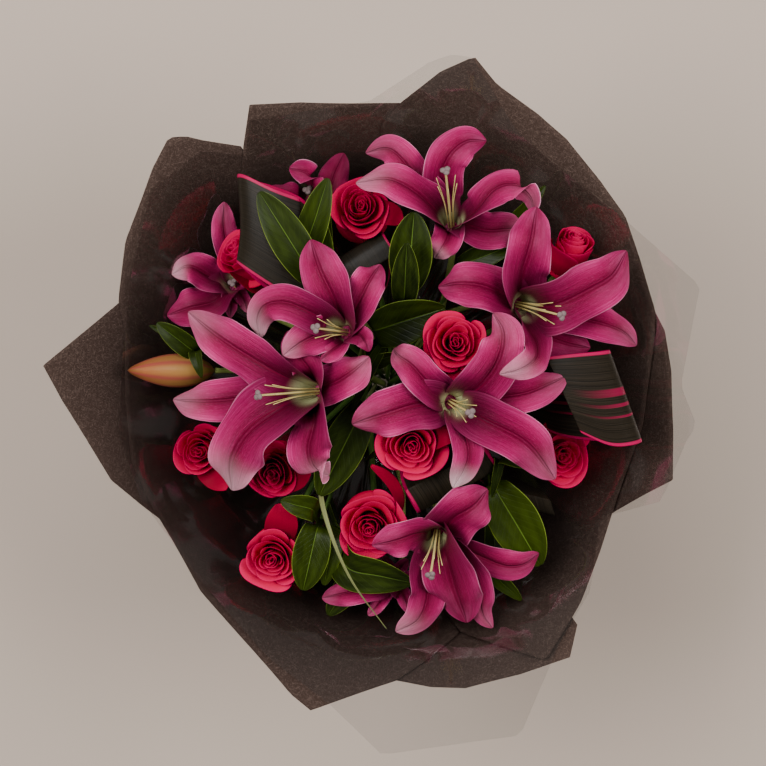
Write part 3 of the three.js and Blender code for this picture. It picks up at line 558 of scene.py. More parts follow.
# %% Grass and stem finishes
# Each: roughness, darker and lighter colour, the streaks' steps across and along, their detail
# and their height.
STREAKED = {
    "grass": (0.45, paint(70, 84, 42), paint(142, 140, 92), (20, 3), 2, 0.2 * MM),
    "rose_stem": (0.5, paint(44, 74, 26), paint(92, 122, 52), (6, 30), 3, 0.3 * MM),
    "lily_stem": (0.45, paint(96, 116, 48), paint(158, 166, 92), (6, 30), 3, 0.3 * MM),
}


def streaked_finish(name):
    roughness, dark, light, steps, detail, height = STREAKED[name]
    made = Finish(name, Roughness=roughness)
    streaks = made.clouds(made.stretched(*steps), detail=detail)
    made.into("Base Color", made.mix(dark, light, streaks))
    made.bump(streaks, height)
    return made


grass, rose_stem, lily_stem = (streaked_finish(name) for name in STREAKED)
print("finishes made:", *STREAKED)

# %% [markdown]
# ## The wrap's finishes
#
# The wrap is a non-woven: short fibres pressed together at random, matt and dark brown. Three
# noise patterns, each drawn out in a direction of its own, cross like such fibres, and the
# highest of them wins at each spot. They read the object's own coordinates, so the fibres keep
# one size on every sheet. The inner side is darkened towards the stems, because the photo shows
# it in a deeper shade there than this soft light gives.

# %% Fibre finishes
# A fibre's length and its two thicknesses, and the ways that the three patterns are turned.
FIBRE = (4 * MM, 0.7 * MM, 2 * MM)
FIBRE_TURNS = (0.4, 1.5, 2.6)
# From the axis, in metres: the darkening is whole at the first, and gone at the second.
SHADE_FROM, SHADE_TO = 0.16, 0.28


def fibre_finish(name, shade):
    made = Finish(name, Roughness=0.85, Specular_IOR_Level=0.2)
    spot = made.solid_map()
    strokes = []
    for turn in FIBRE_TURNS:
        fibre = {"Vector": spot, "Rotation": (0, 0, turn), "Scale": FIBRE}
        laid = made.node("ShaderNodeMapping", {"vector_type": "TEXTURE"}, fibre)
        strokes.append(made.clouds(laid, detail=2))
    first, second, third = strokes
    crossing = first.maths("MAXIMUM", first, first.maths("MAXIMUM", second, third))
    plan = made.node("ShaderNodeMapping", (), {"Vector": spot, "Scale": (1, 1, 0)})
    from_axis = made.node("ShaderNodeVectorMath", {"operation": "LENGTH"}, {0: plan}, out="Value")
    colour = made.coats(
        made.mix(paint(52, 40, 35), paint(146, 124, 113), crossing.between(0.5, 0.95) * 0.75),
        (paint(70, 54, 47), made.clouds(spot, 9, detail=3) * 0.6),
        (paint(17, 9, 9), (1 - from_axis.between(SHADE_FROM, SHADE_TO)) * shade),
    )
    made.into("Base Color", colour)
    made.bump(crossing, 0.6 * MM, 0.9)
    return made


fibre_outside = fibre_finish("fibre_outside", 0)
fibre_inside = fibre_finish("fibre_inside", 0.9)
print("finishes made:", fibre_outside.material.name, fibre_inside.material.name)

# %% [markdown]
# The film is seen only by what it mirrors: a faint, wavy image of the flowers on the wrap. A
# smooth metal that is nearly see-through does the same, and broad soft bumps make it crinkle.

# %% Film finish
clear_film = Finish("clear_film", Base_Color=(0.8, 0.78, 0.76, 1), Metallic=1, Roughness=0.08, Alpha=0.1)
clear_film.bump(clear_film.clouds(clear_film.solid_map(), 14), 4 * MM, 0.15)
print("finish made:", clear_film.material.name)

# %% [markdown]
# Twine is twisted of strands, so its pattern runs slantwise round it. The ribbon is woven, with
# fine threads across its width. Both are a sine of the UV map.

# %% Twine and ribbon finishes
twine = Finish("twine", Roughness=0.9)
across, along = twine.uv()
strands = ((across * 60 + along * 8) * (2 * math.pi)).sine()
twine.into("Base Color", twine.mix(paint(120, 98, 62), paint(190, 168, 124), strands.between(-1, 1)))
twine.bump(strands, 0.5 * MM)

ribbon = Finish("ribbon", Roughness=0.38, Sheen_Weight=0.4)
weave = (ribbon.uv()[1] * (60 * 2 * math.pi)).sine()
ribbon.into("Base Color", ribbon.mix(paint(70, 18, 40), paint(112, 36, 66), weave.between(-1, 1)))
ribbon.bump(weave, 0.2 * MM)
print("finishes made:", twine.material.name, ribbon.material.name)

# %% [markdown]
# ## The roses
#
# A rose opens from a tight spiral. Each petal stands outside the last one, a golden angle further
# round, so no two lie over each other exactly. The inner ones clasp the heart and stand up, and
# the outer ones are lower, wider and roll their rims outwards. One rule with a seeded draw makes
# all of a bloom's petals.

# %% Places of the roses
# at: the middle of the spiral; top: its height; lean: off upright; toward: the way it leans;
# radius: of the outer petals; opened: how far they have opened, 1 where nothing is said.
ROSES = [
    dict(at=(-18, 143), top=362, lean=12, toward=95, radius=27),
    dict(at=(-122, 112), top=350, lean=50, toward=140, radius=24, opened=0.5),
    dict(at=(156, 120), top=352, lean=50, toward=75, radius=21, opened=0.2),
    dict(at=(59, 33), top=404, lean=5, toward=60, radius=29),
    dict(at=(23, -52), top=394, lean=8, toward=270, radius=28),
    dict(at=(-11, -118), top=366, lean=10, toward=250, radius=30),
    dict(at=(146, -60), top=338, lean=12, toward=-20, radius=28),
    dict(at=(-90, -74), top=343, lean=14, toward=230, radius=26),
    dict(at=(-149, -55), top=342, lean=12, toward=190, radius=23, opened=0.7),
    dict(at=(-90, -143), top=350, lean=10, toward=240, radius=26),
]
# Loose outer petals that stand away from a bloom: its number, the petal's width and its path.
LOOSE_PETALS = [
    (1, 20, [(-8, 137, 346), (6, 135, 352), (15, 129, 346)]),
    (5, 18, [(38, -46, 378), (50, -42, 388), (59, -43, 384)]),
    (6, 13, [(8, -112, 344), (13, -94, 356), (5, -78, 362), (-10, -66, 364)]),
    (7, 26, [(140, -50, 318), (135, -38, 330), (131, -31, 332)]),
    (2, 28, [(-118, 98, 322), (-106, 86, 326), (-93, 74, 318)]),
    (8, 32, [(-82, -74, 322), (-69, -70, 334), (-58, -66, 334)]),
    (9, 18, [(-145, -64, 320), (-136, -76, 328), (-124, -84, 326)]),
    (10, 28, [(-84, -128, 328), (-81, -110, 342), (-82, -96, 344)]),
]
ROSE_HEIGHT = 42 * MM
BOWL_DEPTH = 9 * MM
ROSE_PETALS = 20
GOLDEN_TURN = math.radians(137.5)
FULLNESS = 1.1


def rose_frame(rose):
    axis = leaning(rose["lean"], rose["toward"])
    return axis, seen(*rose["at"], rose["top"]) - axis * ROSE_HEIGHT


# %% [markdown]
# A petal is a cupped strip round the bloom's axis. From the first petal to the last it stands
# further out, spans less of the round, is lower, and rolls its rim further outwards. Its upper
# corners are rounded off, and a slow wave keeps its rim from being an even arc.

# %% One rose petal
def lay_rose_petal(bm, place, radius, opened, n, chance):
    out = n / (ROSE_PETALS - 1)
    turn = n * GOLDEN_TURN + chance.uniform(-0.12, 0.12)
    half = math.radians(125 - 60 * out ** 0.6)
    foot = radius * (0.04 + (0.66 - 0.24 * opened) * out)
    reach = radius * (0.05 + 0.74 * out ** 1.45) * (1 + chance.uniform(-0.07, 0.07) * out)
    height = ROSE_HEIGHT * (0.985 - 0.2 * out ** 2) * (1 + chance.uniform(-0.05, 0.03) * out)
    roll = radius * (0.03 + 0.19 * opened * out ** 1.5)
    wave, skew = chance.uniform(0, 6), chance.uniform(-0.12, 0.12)
    flare = 0.55 * opened * out

    def on_petal(u, v):
        s = 2 * u - 1
        angle = turn + s * half
        full = 1 - s ** 4
        lip = smooth_step(v, 0.6, 1.05) * (0.25 + 0.75 * full) * (0.8 + 0.6 * out * s * s)
        spread = (1 - flare) * math.sin(v * math.pi / 2) + flare * v ** 2.5
        r = foot + (reach - foot) * spread + roll * lip - radius * 0.05 * s * s * v
        r += radius * (0.02 + 0.04 * out) * v ** 2 * math.sin(4 * s + wave) + radius * skew * 0.4 * s * v
        shoulder = 0.74 + 0.26 * max(full, 0) ** 0.6
        z = BOWL_DEPTH * 0.6 + (height - BOWL_DEPTH * 0.6) * v * (shoulder + skew * s * 0.2)
        z -= roll * 0.6 * smooth_step(v, 0.75, 1.2)
        return place @ Vector((r * math.cos(angle), r * math.sin(angle), z))

    lay_grid(bm, 12, 9, on_petal, tone=chance.uniform(0, 0.2) + 0.1 * out ** 3)


# %% [markdown]
# Under the petals a small bowl holds their feet together. A loose outer petal is a strip that
# runs from the foot of the bloom outwards and bends over, so that its back is seen from above.

# %% Bowl and loose petals
# The bowl's outline: shares of the bloom's radius and of the bowl's depth.
BOWL = ((0.0, 0.0), (0.5, 0.05), (0.8, 0.3), (0.8, 0.55), (0.0, 0.6))


def lay_bowl(bm, place, radius):
    def on_bowl(u, v):
        k = min(int(v * 4), 3)
        (r0, z0), (r1, z1), part = BOWL[k], BOWL[k + 1], v * 4 - k
        r, z = r0 + (r1 - r0) * part, z0 + (z1 - z0) * part
        angle = 2 * math.pi * u
        return place @ Vector((r * radius * math.cos(angle), r * radius * math.sin(angle), z * BOWL_DEPTH))

    lay_grid(bm, 16, 4, on_bowl)


def lay_loose_petal(bm, base, wide, path):
    spots = [seen(*spot) for spot in path]
    side = (spots[-1] - base).cross(UP).normalized()

    def width(v):
        opening = 0.35 + 0.65 * smooth_step(v, 0.1, 0.6)
        return wide * MM * opening * (1 - max((v - 0.7) / 0.3, 0) ** 2.2 * 0.75)

    def lift(s, v):
        return 0.35 * s * s * v

    lay_strip(bm, [base + UP * 4 * MM, *spots], side, 8, 12, width, lift, finish=1)


# %% [markdown]
# Each bloom is one piece of twenty petals, its bowl and the loose petals that the photo shows
# beside it. Its draws are seeded with its own number, so a change to one bloom leaves the others.

# %% Rose blooms
for number, rose in enumerate(ROSES):
    chance = random.Random(40 + number)
    axis, base = rose_frame(rose)
    place = set_down(base, axis, number)
    radius = rose["radius"] * FULLNESS * MM
    bm = fresh()
    for n in range(ROSE_PETALS):
        lay_rose_petal(bm, place, radius, rose.get("opened", 1.0), n, chance)
    lay_bowl(bm, place, radius)
    for bloom, wide, path in LOOSE_PETALS:
        if bloom == number + 1:
            lay_loose_petal(bm, base, wide, path)
    node = f"rose_{number + 1}"
    petals = [rose_petal, rose_petal_shaded]
    piece(f"{node}_petals", bm, petals, [node], wall=0.35 * MM, rounds=1)
print("roses:", len(ROSES), "with", ROSE_PETALS, "petals each")

# %% [markdown]
# ## Rose stems
#
# Under each bloom a green cup, the calyx, is drawn out into five pointed sepals that bend back.
# The cup is the stem's tube itself, made wider near its end.

# %% Rose stems with their sepals
# In mm: the stem's radius, how much wider the cup is than the stem, and how long it is.
STEM_RADIUS, CUP_SWELL, CUP_LENGTH = 2.5, 3.4, 8
SEPALS = 5
# A sepal's midrib from the cup's middle, in mm: outwards, sideways and up.
SEPAL_RIB = ((4, 0, -3), (9, 0, -2.5), (13, 0, -4.5), (15.5, 0, -8))


def sepal_width(v):
    return 6 * MM * math.sin(math.pi * (0.1 + 0.87 * v)) ** 0.8


for number, rose in enumerate(ROSES):
    axis, base = rose_frame(rose)
    node = f"rose_stem_{number + 1}"
    neck = base - axis * 6 * MM
    run = [*lower_run(node, 235), neck - axis * 22 * MM, neck, base - axis * 0.6 * MM]
    length = sum((b - a).length for a, b in zip(run, run[1:]))

    def stem_radius(v):
        to_end = (1 - v) * length
        return (STEM_RADIUS + CUP_SWELL * smooth_step(CUP_LENGTH * MM - to_end, 0, 6 * MM)) * MM

    bm = fresh()
    lay_tube(bm, run, stem_radius, sides=10, along=90)
    place = set_down(base, axis, number)
    for k in range(SEPALS):
        turned = place @ Matrix.Rotation(k * 2 * math.pi / SEPALS + 0.3, 4, "Z")
        rib = [turned @ (Vector(spot) * MM) for spot in SEPAL_RIB]
        side = turned.to_3x3() @ Vector((0, 1, 0))
        lay_strip(bm, rib, side, 2, 6, sepal_width, lambda s, v: 0.25 * abs(s))
    piece(f"{node}_round", bm, [rose_stem], [node])
print("rose stems:", len(ROSES), "with", SEPALS, "sepals each")

# %% [markdown]
# ## The lilies
#
# A lily has six tepals in two whorls of three, joined at the foot into a trumpet. Each leaves the
# throat as a narrow claw, is widest about its middle and bends back at the tip, with a groove
# along its midrib and a waved margin. They are laid along the same paths as the solids, but for
# three that are led a few millimetres aside, to lie as they do in the photo.

# %% Places of the lilies
# throat: where the tepals are rooted; style: the stigma's place and its rise above the throat;
# pistil: how much of the way there the pistil has grown, all of it where nothing is said;
# tepals: the width of each, and the places on its way with their rise above the throat.
LILIES = [
    dict(throat=(55, 121, 332), style=(50, 170, 70), tepals=[
        (33, [(46, 150, 16), (52, 180, 38), (66, 193, 34), (83, 194, 20)]),
        (27, [(30, 160, 28), (6, 187, 26), (-14, 184, 6)]),
        (30, [(28, 152, 44), (4, 164, 50), (-22, 160, 42)]),
        (24, [(51, 114, 36), (46, 106, 38), (41, 100, 28)]),
        (30, [(84, 122, 30), (102, 123, 28), (114, 122, 18)]),
        (26, [(74, 138, 48), (90, 156, 52), (106, 159, 48), (119, 148, 38), (120, 136, 28)]),
    ]),
    dict(throat=(103, 64, 342), style=(143, 54, 60), tepals=[
        (36, [(80, 78, 44), (60, 80, 48), (44, 77, 32)]),
        (37, [(112, 88, 42), (119, 114, 54), (123, 141, 38)]),
        (42, [(138, 62, 46), (168, 76, 42), (184, 86, 34), (195, 106, 18)]),
        (28, [(146, 54, 18), (178, 47, 20), (194, 40, 6), (203, 30, -8)]),
        (32, [(124, 42, 16), (146, 32, 14), (166, 28, 4)]),
        (25, [(122, 34, 50), (121, 18, 84), (108, 10, 92), (93, 7, 86)]),
    ]),
    dict(throat=(52, -14, 366), style=(70, -24, 66), tepals=[
        (38, [(28, -17, 34), (4, -24, 38), (-25, -33, 20)]),
        (28, [(34, 2, 40), (22, 15, 44), (12, 22, 42), (8, 27, 28)]),
        (36, [(78, -2, 38), (92, 18, 48), (96, 40, 48), (88, 56, 36)]),
        (30, [(84, -12, 26), (114, -8, 30), (134, 0, 24), (147, 6, 10)]),
        (37, [(82, -30, 38), (114, -47, 34), (138, -77, 6)]),
        (24, [(64, -38, 34), (69, -56, 40), (66, -68, 36), (56, -84, 18)]),
    ]),
    dict(throat=(-46, -6, 362), style=(-100, -10, 54), tepals=[
        (36, [(-88, 10, 32), (-130, 36, 22), (-156, 57, -4)]),
        (34, [(-90, -9, 18), (-134, -14, 8), (-154, -14, 0), (-168, -13, -18)]),
        (49, [(-82, -20, 32), (-108, -38, 30), (-122, -62, 18), (-121, -86, -10)]),
        (34, [(-56, -34, 40), (-60, -54, 34), (-55, -68, 22), (-43, -74, 8)]),
        (32, [(-36, 2, 36), (-24, 10, 42), (-11, 21, 42)]),
        (26, [(-60, 12, 36), (-70, 26, 36), (-76, 42, 24)]),
    ]),
    dict(throat=(-26, 40, 386), style=(-54, 44, 50), tepals=[
        (35, [(-38, 64, 34), (-50, 90, 36), (-58, 115, 16)]),
        (28, [(-20, 64, 34), (-12, 80, 36), (-7, 88, 32), (-2, 95, 18)]),
        (28, [(-56, 56, 34), (-80, 65, 34), (-95, 62, 28), (-101, 50, 14), (-98, 36, 0)]),
        (28, [(-48, 40, 24), (-64, 33, 26), (-80, 22, 20)]),
        (16, [(-18, 38, 34), (-14, 32, 44), (-11, 25, 40)]),
        (18, [(-36, 30, 22), (-44, 24, 28), (-50, 18, 22)]),
    ]),
    dict(throat=(44, -114, 336), style=(38, -154, 58), tepals=[
        (29, [(24, -122, 38), (8, -127, 44), (-9, -130, 38)]),
        (40, [(58, -108, 38), (74, -98, 46), (84, -85, 34)]),
        (26, [(76, -138, 24), (100, -147, 22), (114, -145, 18), (125, -136, 8)]),
        (25, [(66, -140, 34), (76, -166, 20), (80, -186, 2), (88, -196, -6)]),
        (43, [(50, -140, 36), (58, -168, 28), (67, -192, 4)]),
        (28, [(34, -146, 24), (36, -170, 16), (28, -190, 4), (10, -199, -10)]),
    ]),
    dict(throat=(-116, 74, 288), style=(-124, 86, 24), pistil=0.55, tepals=[
        (22, [(-120, 96, 16), (-127, 122, 26), (-127, 145, 30)]),
        (28, [(-136, 84, 18), (-156, 94, 28), (-169, 87, 20)]),
        (33, [(-134, 66, 16), (-156, 60, 24), (-173, 54, 14)]),
        (12, [(-110, 86, 8), (-108, 89, 9), (-106, 92, 9)]),
        (12, [(-110, 64, 10), (-109, 60, 12), (-108, 56, 12)]),
        (12, [(-122, 64, 10), (-122, 58, 13), (-122, 52, 13)]),
    ]),
    dict(throat=(-56, 143, 308), style=(-64, 164, 40), pistil=0.55, tepals=[
        (22, [(-56, 156, 26), (-60, 167, 34), (-75, 172, 30)]),
        (18, [(-68, 150, 22), (-80, 154, 26), (-91, 157, 22)]),
        (24, [(-46, 150, 20), (-39, 166, 24), (-31, 184, 16)]),
        (12, [(-46, 140, 18), (-42, 138, 26), (-39, 137, 28)]),
        (12, [(-55, 132, 18), (-54, 127, 26), (-54, 123, 28)]),
        (12, [(-65, 137, 18), (-69, 134, 24), (-72, 131, 24)]),
    ]),
    dict(throat=(10, -156, 308), style=(2, -168, 36), pistil=0.55, tepals=[
        (22, [(-12, -164, 26), (-30, -168, 27), (-49, -172, 12)]),
        (13, [(2, -168, 14), (-5, -178, 16), (-12, -186, 12)]),
        (13, [(15, -167, 12), (20, -177, 14), (26, -185, 10)]),
        (12, [(4, -147, 14), (0, -142, 18), (-3, -138, 20)]),
        (12, [(14, -148, 12), (17, -144, 16), (20, -141, 18)]),
        (12, [(20, -156, 12), (27, -156, 14), (34, -157, 12)]),
    ]),
]
# Tepals whose outer part has faded: the bloom's and the tepal's number, and how far. A number
# below nothing darkens the whole tepal instead, with painted shade.
# Positive numbers are fading. Negative numbers are painted shade over the whole tepal.
FADED_OR_SHADED = {
    (3, 6): 0.9, (5, 3): 0.5, (2, 6): 0.3, (1, 4): 0.4, (7, 2): 0.4, (1, 3): 0.2, (6, 6): 0.25,
    (8, 1): -0.4, (8, 2): -0.6, (8, 3): -0.75, (7, 3): -0.35, (5, 5): -0.3, (2, 5): -0.3, (4, 6): -0.4,
    (4, 1): 0.15, (4, 2): 0.2, (4, 3): 0.45, (4, 4): 0.25, (6, 1): -0.1, (6, 2): -0.2, (6, 3): -0.25,
    (6, 5): -0.3, (2, 1): -0.2, (2, 2): -0.15, (2, 3): -0.2, (5, 1): -0.15, (5, 4): 0.2, (1, 1): -0.1,
}


def lily_frame(lily):
    root = seen(*lily["throat"])
    x, y, rise = lily["style"]
    stigma_spot = seen(x, y, lily["throat"][2] + rise)
    lean = stigma_spot - root
    axis = Vector((lean.x, lean.y, lean.z + 0.25 * lean.length)).normalized()
    return root, stigma_spot, axis


# %% [markdown]
# A tepal is one strip. `width` opens it from the narrow claw and rounds it off to the tip. `lift`
# bends it across: rolled up beside the throat, grooved along the midrib, arched further out and
# waved along the margin. The outer part also turns to lie level across, or a tepal that leans
# sideways would be seen edge on. The tepals of the inner whorl are rooted a little further in.

# %% One tepal
# In mm: how far out the claw and the neck are, how far up the neck is, and the whorls' step.
CLAW_OUT, NECK_OUT, NECK_RISE, WHORL_STEP = 5.5, 8.5, 17, 0.7
FULLER = 1.06


def lay_tepal(bm, lily, n, fade_or_shade, chance):
    root, _, axis = lily_frame(lily)
    wide, path = lily["tepals"][n]
    places = [seen(x, y, lily["throat"][2] + rise) for x, y, rise in path]
    out = places[0] - root
    out = (out - axis * out.dot(axis)).normalized()
    layer = -WHORL_STEP if n % 2 == 0 else WHORL_STEP
    claw = root + out * (CLAW_OUT + layer) * MM + axis * MM
    neck = root + out * (NECK_OUT + layer) * MM + axis * NECK_RISE * MM
    phase, wave = chance.uniform(0, 6), chance.uniform(0.06, 0.12)

    def width(v):
        opening = 0.42 + 0.58 * smooth_step(v, 0.02, 0.36)
        rounding = (1 - max((v - 0.56) / 0.44, 0) ** 2.2) ** 0.6 if v < 1 else 0
        return FULLER * wide * MM * max(opening * rounding, 0.05)

    def lift(s, v):
        trumpet = 0.75 * s * s * (1 - smooth_step(v, 0.16, 0.6))
        groove = -0.13 * max(1 - abs(s) / 0.22, 0) * smooth_step(v, 0.2, 0.4)
        arched = -0.36 * s * s * smooth_step(v, 0.45, 0.9)
        ripple = math.sin(15 * v + phase + 1.5 * (s > 0))
        waved = wave * 3 * abs(s) ** 3 * ripple * smooth_step(v, 0.25, 0.5)
        return trumpet + groove + arched + waved

    lay_strip(
        bm, [claw, neck, *places], out.cross(axis), 12, 28, width, lift,
        tone=fade_or_shade, twist=chance.uniform(-0.45, 0.45), level=0.8,
    )


# %% [markdown]
# Six such strips, and a short tube that joins their feet, make a bloom. A tepal that isn't in
# the table of faded and shaded tepals draws a slight tone of its own.

# %% Lily blooms
for number, lily in enumerate(LILIES):
    chance = random.Random(90 + number)
    root, _, axis = lily_frame(lily)
    bm = fresh()
    for n in range(6):
        lay_tepal(bm, lily, n, FADED_OR_SHADED.get((number + 1, n + 1), chance.uniform(0, 0.12)), chance)
    throat = [root, root + axis * 3 * MM, root + axis * 8 * MM]
    lay_tube(bm, throat, lambda v: (6.5 + v * 0.4) * MM, sides=14, along=3)
    node = f"lily_{number + 1}"
    piece(f"{node}_tepals", bm, [lily_tepal], [node], wall=0.55 * MM, rounds=1)
print("lilies:", len(LILIES), "with six tepals each")

# %% [markdown]
# ## Lily stems, pistils and filaments
#
# A lily stem forks into one short stalk for each bloom, or bends into the only one. Out of the
# bloom's throat stand the pistil, with its three-lobed stigma, and six filaments. A florist takes
# the anthers off, so the filaments end bare. Stalk, pistil and filaments are one growth, so they
# are one piece here.

# %% Stigma and filaments
def lay_stigma(bm, spot, end):
    for k in range(3):
        turn = Matrix.Rotation(k * 2 * math.pi / 3, 3, end)
        lobe = spot + turn @ end.orthogonal().normalized() * 2.1 * MM
        shape = set_down(lobe, end) @ Matrix.Diagonal((2.6 * MM, 2.6 * MM, 1.7 * MM, 1))
        knob = bmesh.ops.create_icosphere(bm, subdivisions=2, radius=1, matrix=shape)["verts"]
        for face in {face for vert in knob for face in vert.link_faces}:
            face.material_index = 2
            face.smooth = True


def lay_filaments(bm, foot, collar, spot):
    end = (spot - collar).normalized()
    side = end.cross(UP).normalized()
    for k in range(6):
        outward = Matrix.Rotation(k * math.pi / 3 + 0.5, 3, end) @ side
        tip = collar.lerp(spot, 0.82) + outward * 9 * MM
        start = foot + outward * 2 * MM
        bend = start.lerp(tip, 0.6) - outward * 2 * MM
        lay_tube(bm, [start, bend, tip], lambda v: (0.62 - 0.3 * v) * MM, sides=6, along=8, finish=1)


# %% [markdown]
# Each stem is listed by the blooms that it carries, counted from nought. The bud stands on a fork
# of the third stem. A bloom that the others mostly hide has small tepals, and its filaments would
# never be seen, so it has none.

# %% Lily stems
LILY_STEMS = [[0, 1], [2], [3, 4], [6], [7], [5, 8]]
BUD_STEM = 2
BUD = dict(base=(-134, 10, 322), tip=(-205, 10, 330), radius=15)
FORK_HEIGHT = 252
FORK_REACH = 0.62
# The fourth tepal of a hidden bloom is no wider than this.
HIDDEN_TEPAL = 15


def stalk_radius(v):
    return (2.7 + 3.4 * smooth_step(v, 0.86, 1.0)) * MM


for number, carried in enumerate(LILY_STEMS):
    node = f"lily_stem_{number + 1}"
    roots = [lily_frame(LILIES[n])[0] - AXIS for n in carried]
    middle = sum(roots, Vector()) / len(roots)
    fork = AXIS + Vector((middle.x * FORK_REACH, middle.y * FORK_REACH, FORK_HEIGHT * MM))
    bm = fresh()
    lay_tube(bm, [*lower_run(node, 215), fork], lambda v: 2.9 * MM, sides=10, along=80)
    for n in carried:
        lily = LILIES[n]
        root, spot, axis = lily_frame(lily)
        stalk = [fork - UP * 6 * MM, root - axis * 26 * MM, root + axis * 2 * MM]
        lay_tube(bm, stalk, stalk_radius, sides=10, along=24)
        spot = root.lerp(spot, lily.get("pistil", 1.0))
        foot, collar = root + axis * MM, root + axis * 10 * MM
        lay_tube(bm, [foot, collar, spot], lambda v: (1.1 - 0.25 * v) * MM, sides=8, along=14, finish=1)
        lay_stigma(bm, spot, (spot - collar).normalized())
        if lily["tepals"][3][0] > HIDDEN_TEPAL:
            lay_filaments(bm, foot, collar, spot)
    if number == BUD_STEM:
        bud_base = seen(*BUD["base"])
        bud_stalk = [fork, bud_base + Vector((12, 0, -14)) * MM, bud_base]
        lay_tube(bm, bud_stalk, lambda v: 2.3 * MM, sides=10, along=24)
    piece(f"{node}_round", bm, [lily_stem, filament, stigma], [node])
print("lily stems:", len(LILY_STEMS))

# %% [markdown]
# ## The closed bud
#
# A lily's bud is long and three-ribbed, fullest in the middle, with a slightly hooked tip. It is
# a grid rolled round the bud's axis, with a radius that follows the bud's outline and its ribs.

# %% Lily bud
bud_tip = seen(*BUD["tip"])
bud_axis = (bud_tip - bud_base).normalized()
bud_length = (bud_tip - bud_base).length
bud_place = set_down(bud_base, bud_axis)
bm = fresh()


def on_bud(u, v):
    angle = 2 * math.pi * u
    full = math.sin(math.pi * min(v ** 0.88, 1.0)) ** 0.72 if 0 < v < 1 else 0.0
    ridge = 1 + 0.09 * math.cos(3 * angle) + 0.05 * abs(math.cos(3 * angle / 2)) ** 8
    r = BUD["radius"] * MM * full * ridge * (1 - 0.18 * v)
    hook = 2.5 * MM * smooth_step(v, 0.8, 1.0)
    return bud_place @ Vector((r * math.cos(angle) + hook, r * math.sin(angle), v * bud_length))


made = lay_grid(bm, 24, 20, on_bud)
bmesh.ops.remove_doubles(bm, verts=made, dist=1e-7)
piece("lily_bud_closed", bm, [lily_bud_skin], ["lily_bud"], rounds=1)
print("bud length in mm:", round(bud_length / MM))

# %% [markdown]
# ## Leafy sprays
#
# Each spray is one stem with a few leaves, one above the other. A leaf starts as a thin stalk on
# the stem, and its blade is folded a little along the midrib, as a gutter is.

# %% Places of the sprays
# top: the stem's tip; each leaf: where its blade starts, its tip and its width.
SPRAYS = [
    dict(top=(-52, 84, 352), leaves=[
        ((-58, 88, 390), (-99, 153, 394), 32),
        ((-62, 104, 376), (-44, 164, 388), 26),
        ((-47, 98, 366), (-50, 134, 374), 17),
        ((-42, 104, 352), (-45, 154, 362), 5),
    ]),
    dict(top=(14, 62, 346), leaves=[
        ((20, 76, 358), (25, 137, 374), 36),
        ((17, 69, 366), (19, 112, 384), 23),
        ((-8, 42, 352), (50, 60, 364), 38),
        ((-8, 18, 352), (16, 24, 356), 18),
        ((-8, 16, 372), (-25, -22, 372), 10),
    ]),
    dict(top=(70, 96, 326), leaves=[
        ((62, 94, 344), (106, 111, 352), 20),
        ((116, 140, 326), (130, 158, 334), 14),
    ]),
    dict(top=(-20, -28, 340), leaves=[
        ((-14, -16, 364), (-51, -90, 350), 36),
        ((2, -48, 350), (-14, -62, 348), 9),
    ]),
    dict(top=(94, -72, 326), leaves=[
        ((99, -58, 360), (117, -67, 368), 17),
        ((90, -84, 344), (126, -146, 338), 42),
        ((92, -156, 326), (111, -174, 322), 17),
        ((93, -62, 356), (87, -91, 350), 9),
    ]),
    dict(top=(-52, -116, 324), leaves=[
        ((-57, -101, 348), (-82, -94, 352), 20),
        ((-53, -118, 342), (-64, -166, 338), 31),
        ((-40, -124, 338), (-47, -162, 336), 19),
        ((-28, -148, 348), (24, -160, 346), 34),
        ((-24, -156, 318), (-44, -186, 315), 28),
    ]),
    dict(top=(-146, 26, 306), leaves=[
        ((-152, 26, 330), (-181, 48, 336), 19),
        ((-150, 24, 343), (-145, 4, 347), 12),
        ((-160, 34, 322), (-187, 46, 322), 8),
    ]),
]
LEAF_STALK = 0.2


# %% [markdown]
# The first fifth of a leaf's strip is its stalk, and the rest its blade. The path sags on its way
# out to the blade and arches over the blade, as a leaf does under its own weight.

# %% One leaf
def lay_leaf(bm, start, base, tip, wide, tone, chance):
    middle = base.lerp(tip, 0.5) + UP * 3 * MM
    low = start.lerp(base, 0.6) - UP * 3 * MM
    side = (tip - base).cross(UP).normalized()
    phase = chance.uniform(0, 6)

    def width(v):
        share = max((v - LEAF_STALK) / (1 - LEAF_STALK), 0)
        return max(wide * MM * math.sin(math.pi * (0.97 * share + 0.02)) ** 0.62, 1.6 * MM * (v < 0.9))

    def lift(s, v):
        blade = smooth_step(v, LEAF_STALK, LEAF_STALK + 0.15)
        return blade * (0.26 * abs(s) + 0.06 * abs(s) ** 2 * math.sin(12 * v + phase + s))

    lay_strip(bm, [start, low, base, middle, tip], side, 8, 26, width, lift, tone=tone, finish=1)


# %% [markdown]
# A leaf starts on the stem, well below its blade, and each further leaf a little lower. Stem and
# leaves are two meshes, because only the leaves need a wall and rounding.

# %% Leafy sprays
# In mm: how far below its blade a leaf starts at least, how far below the tip the first one does,
# and how much lower each further one.
BELOW_BLADE, BELOW_TIP, LEAF_SPACING = 14, 3, 6

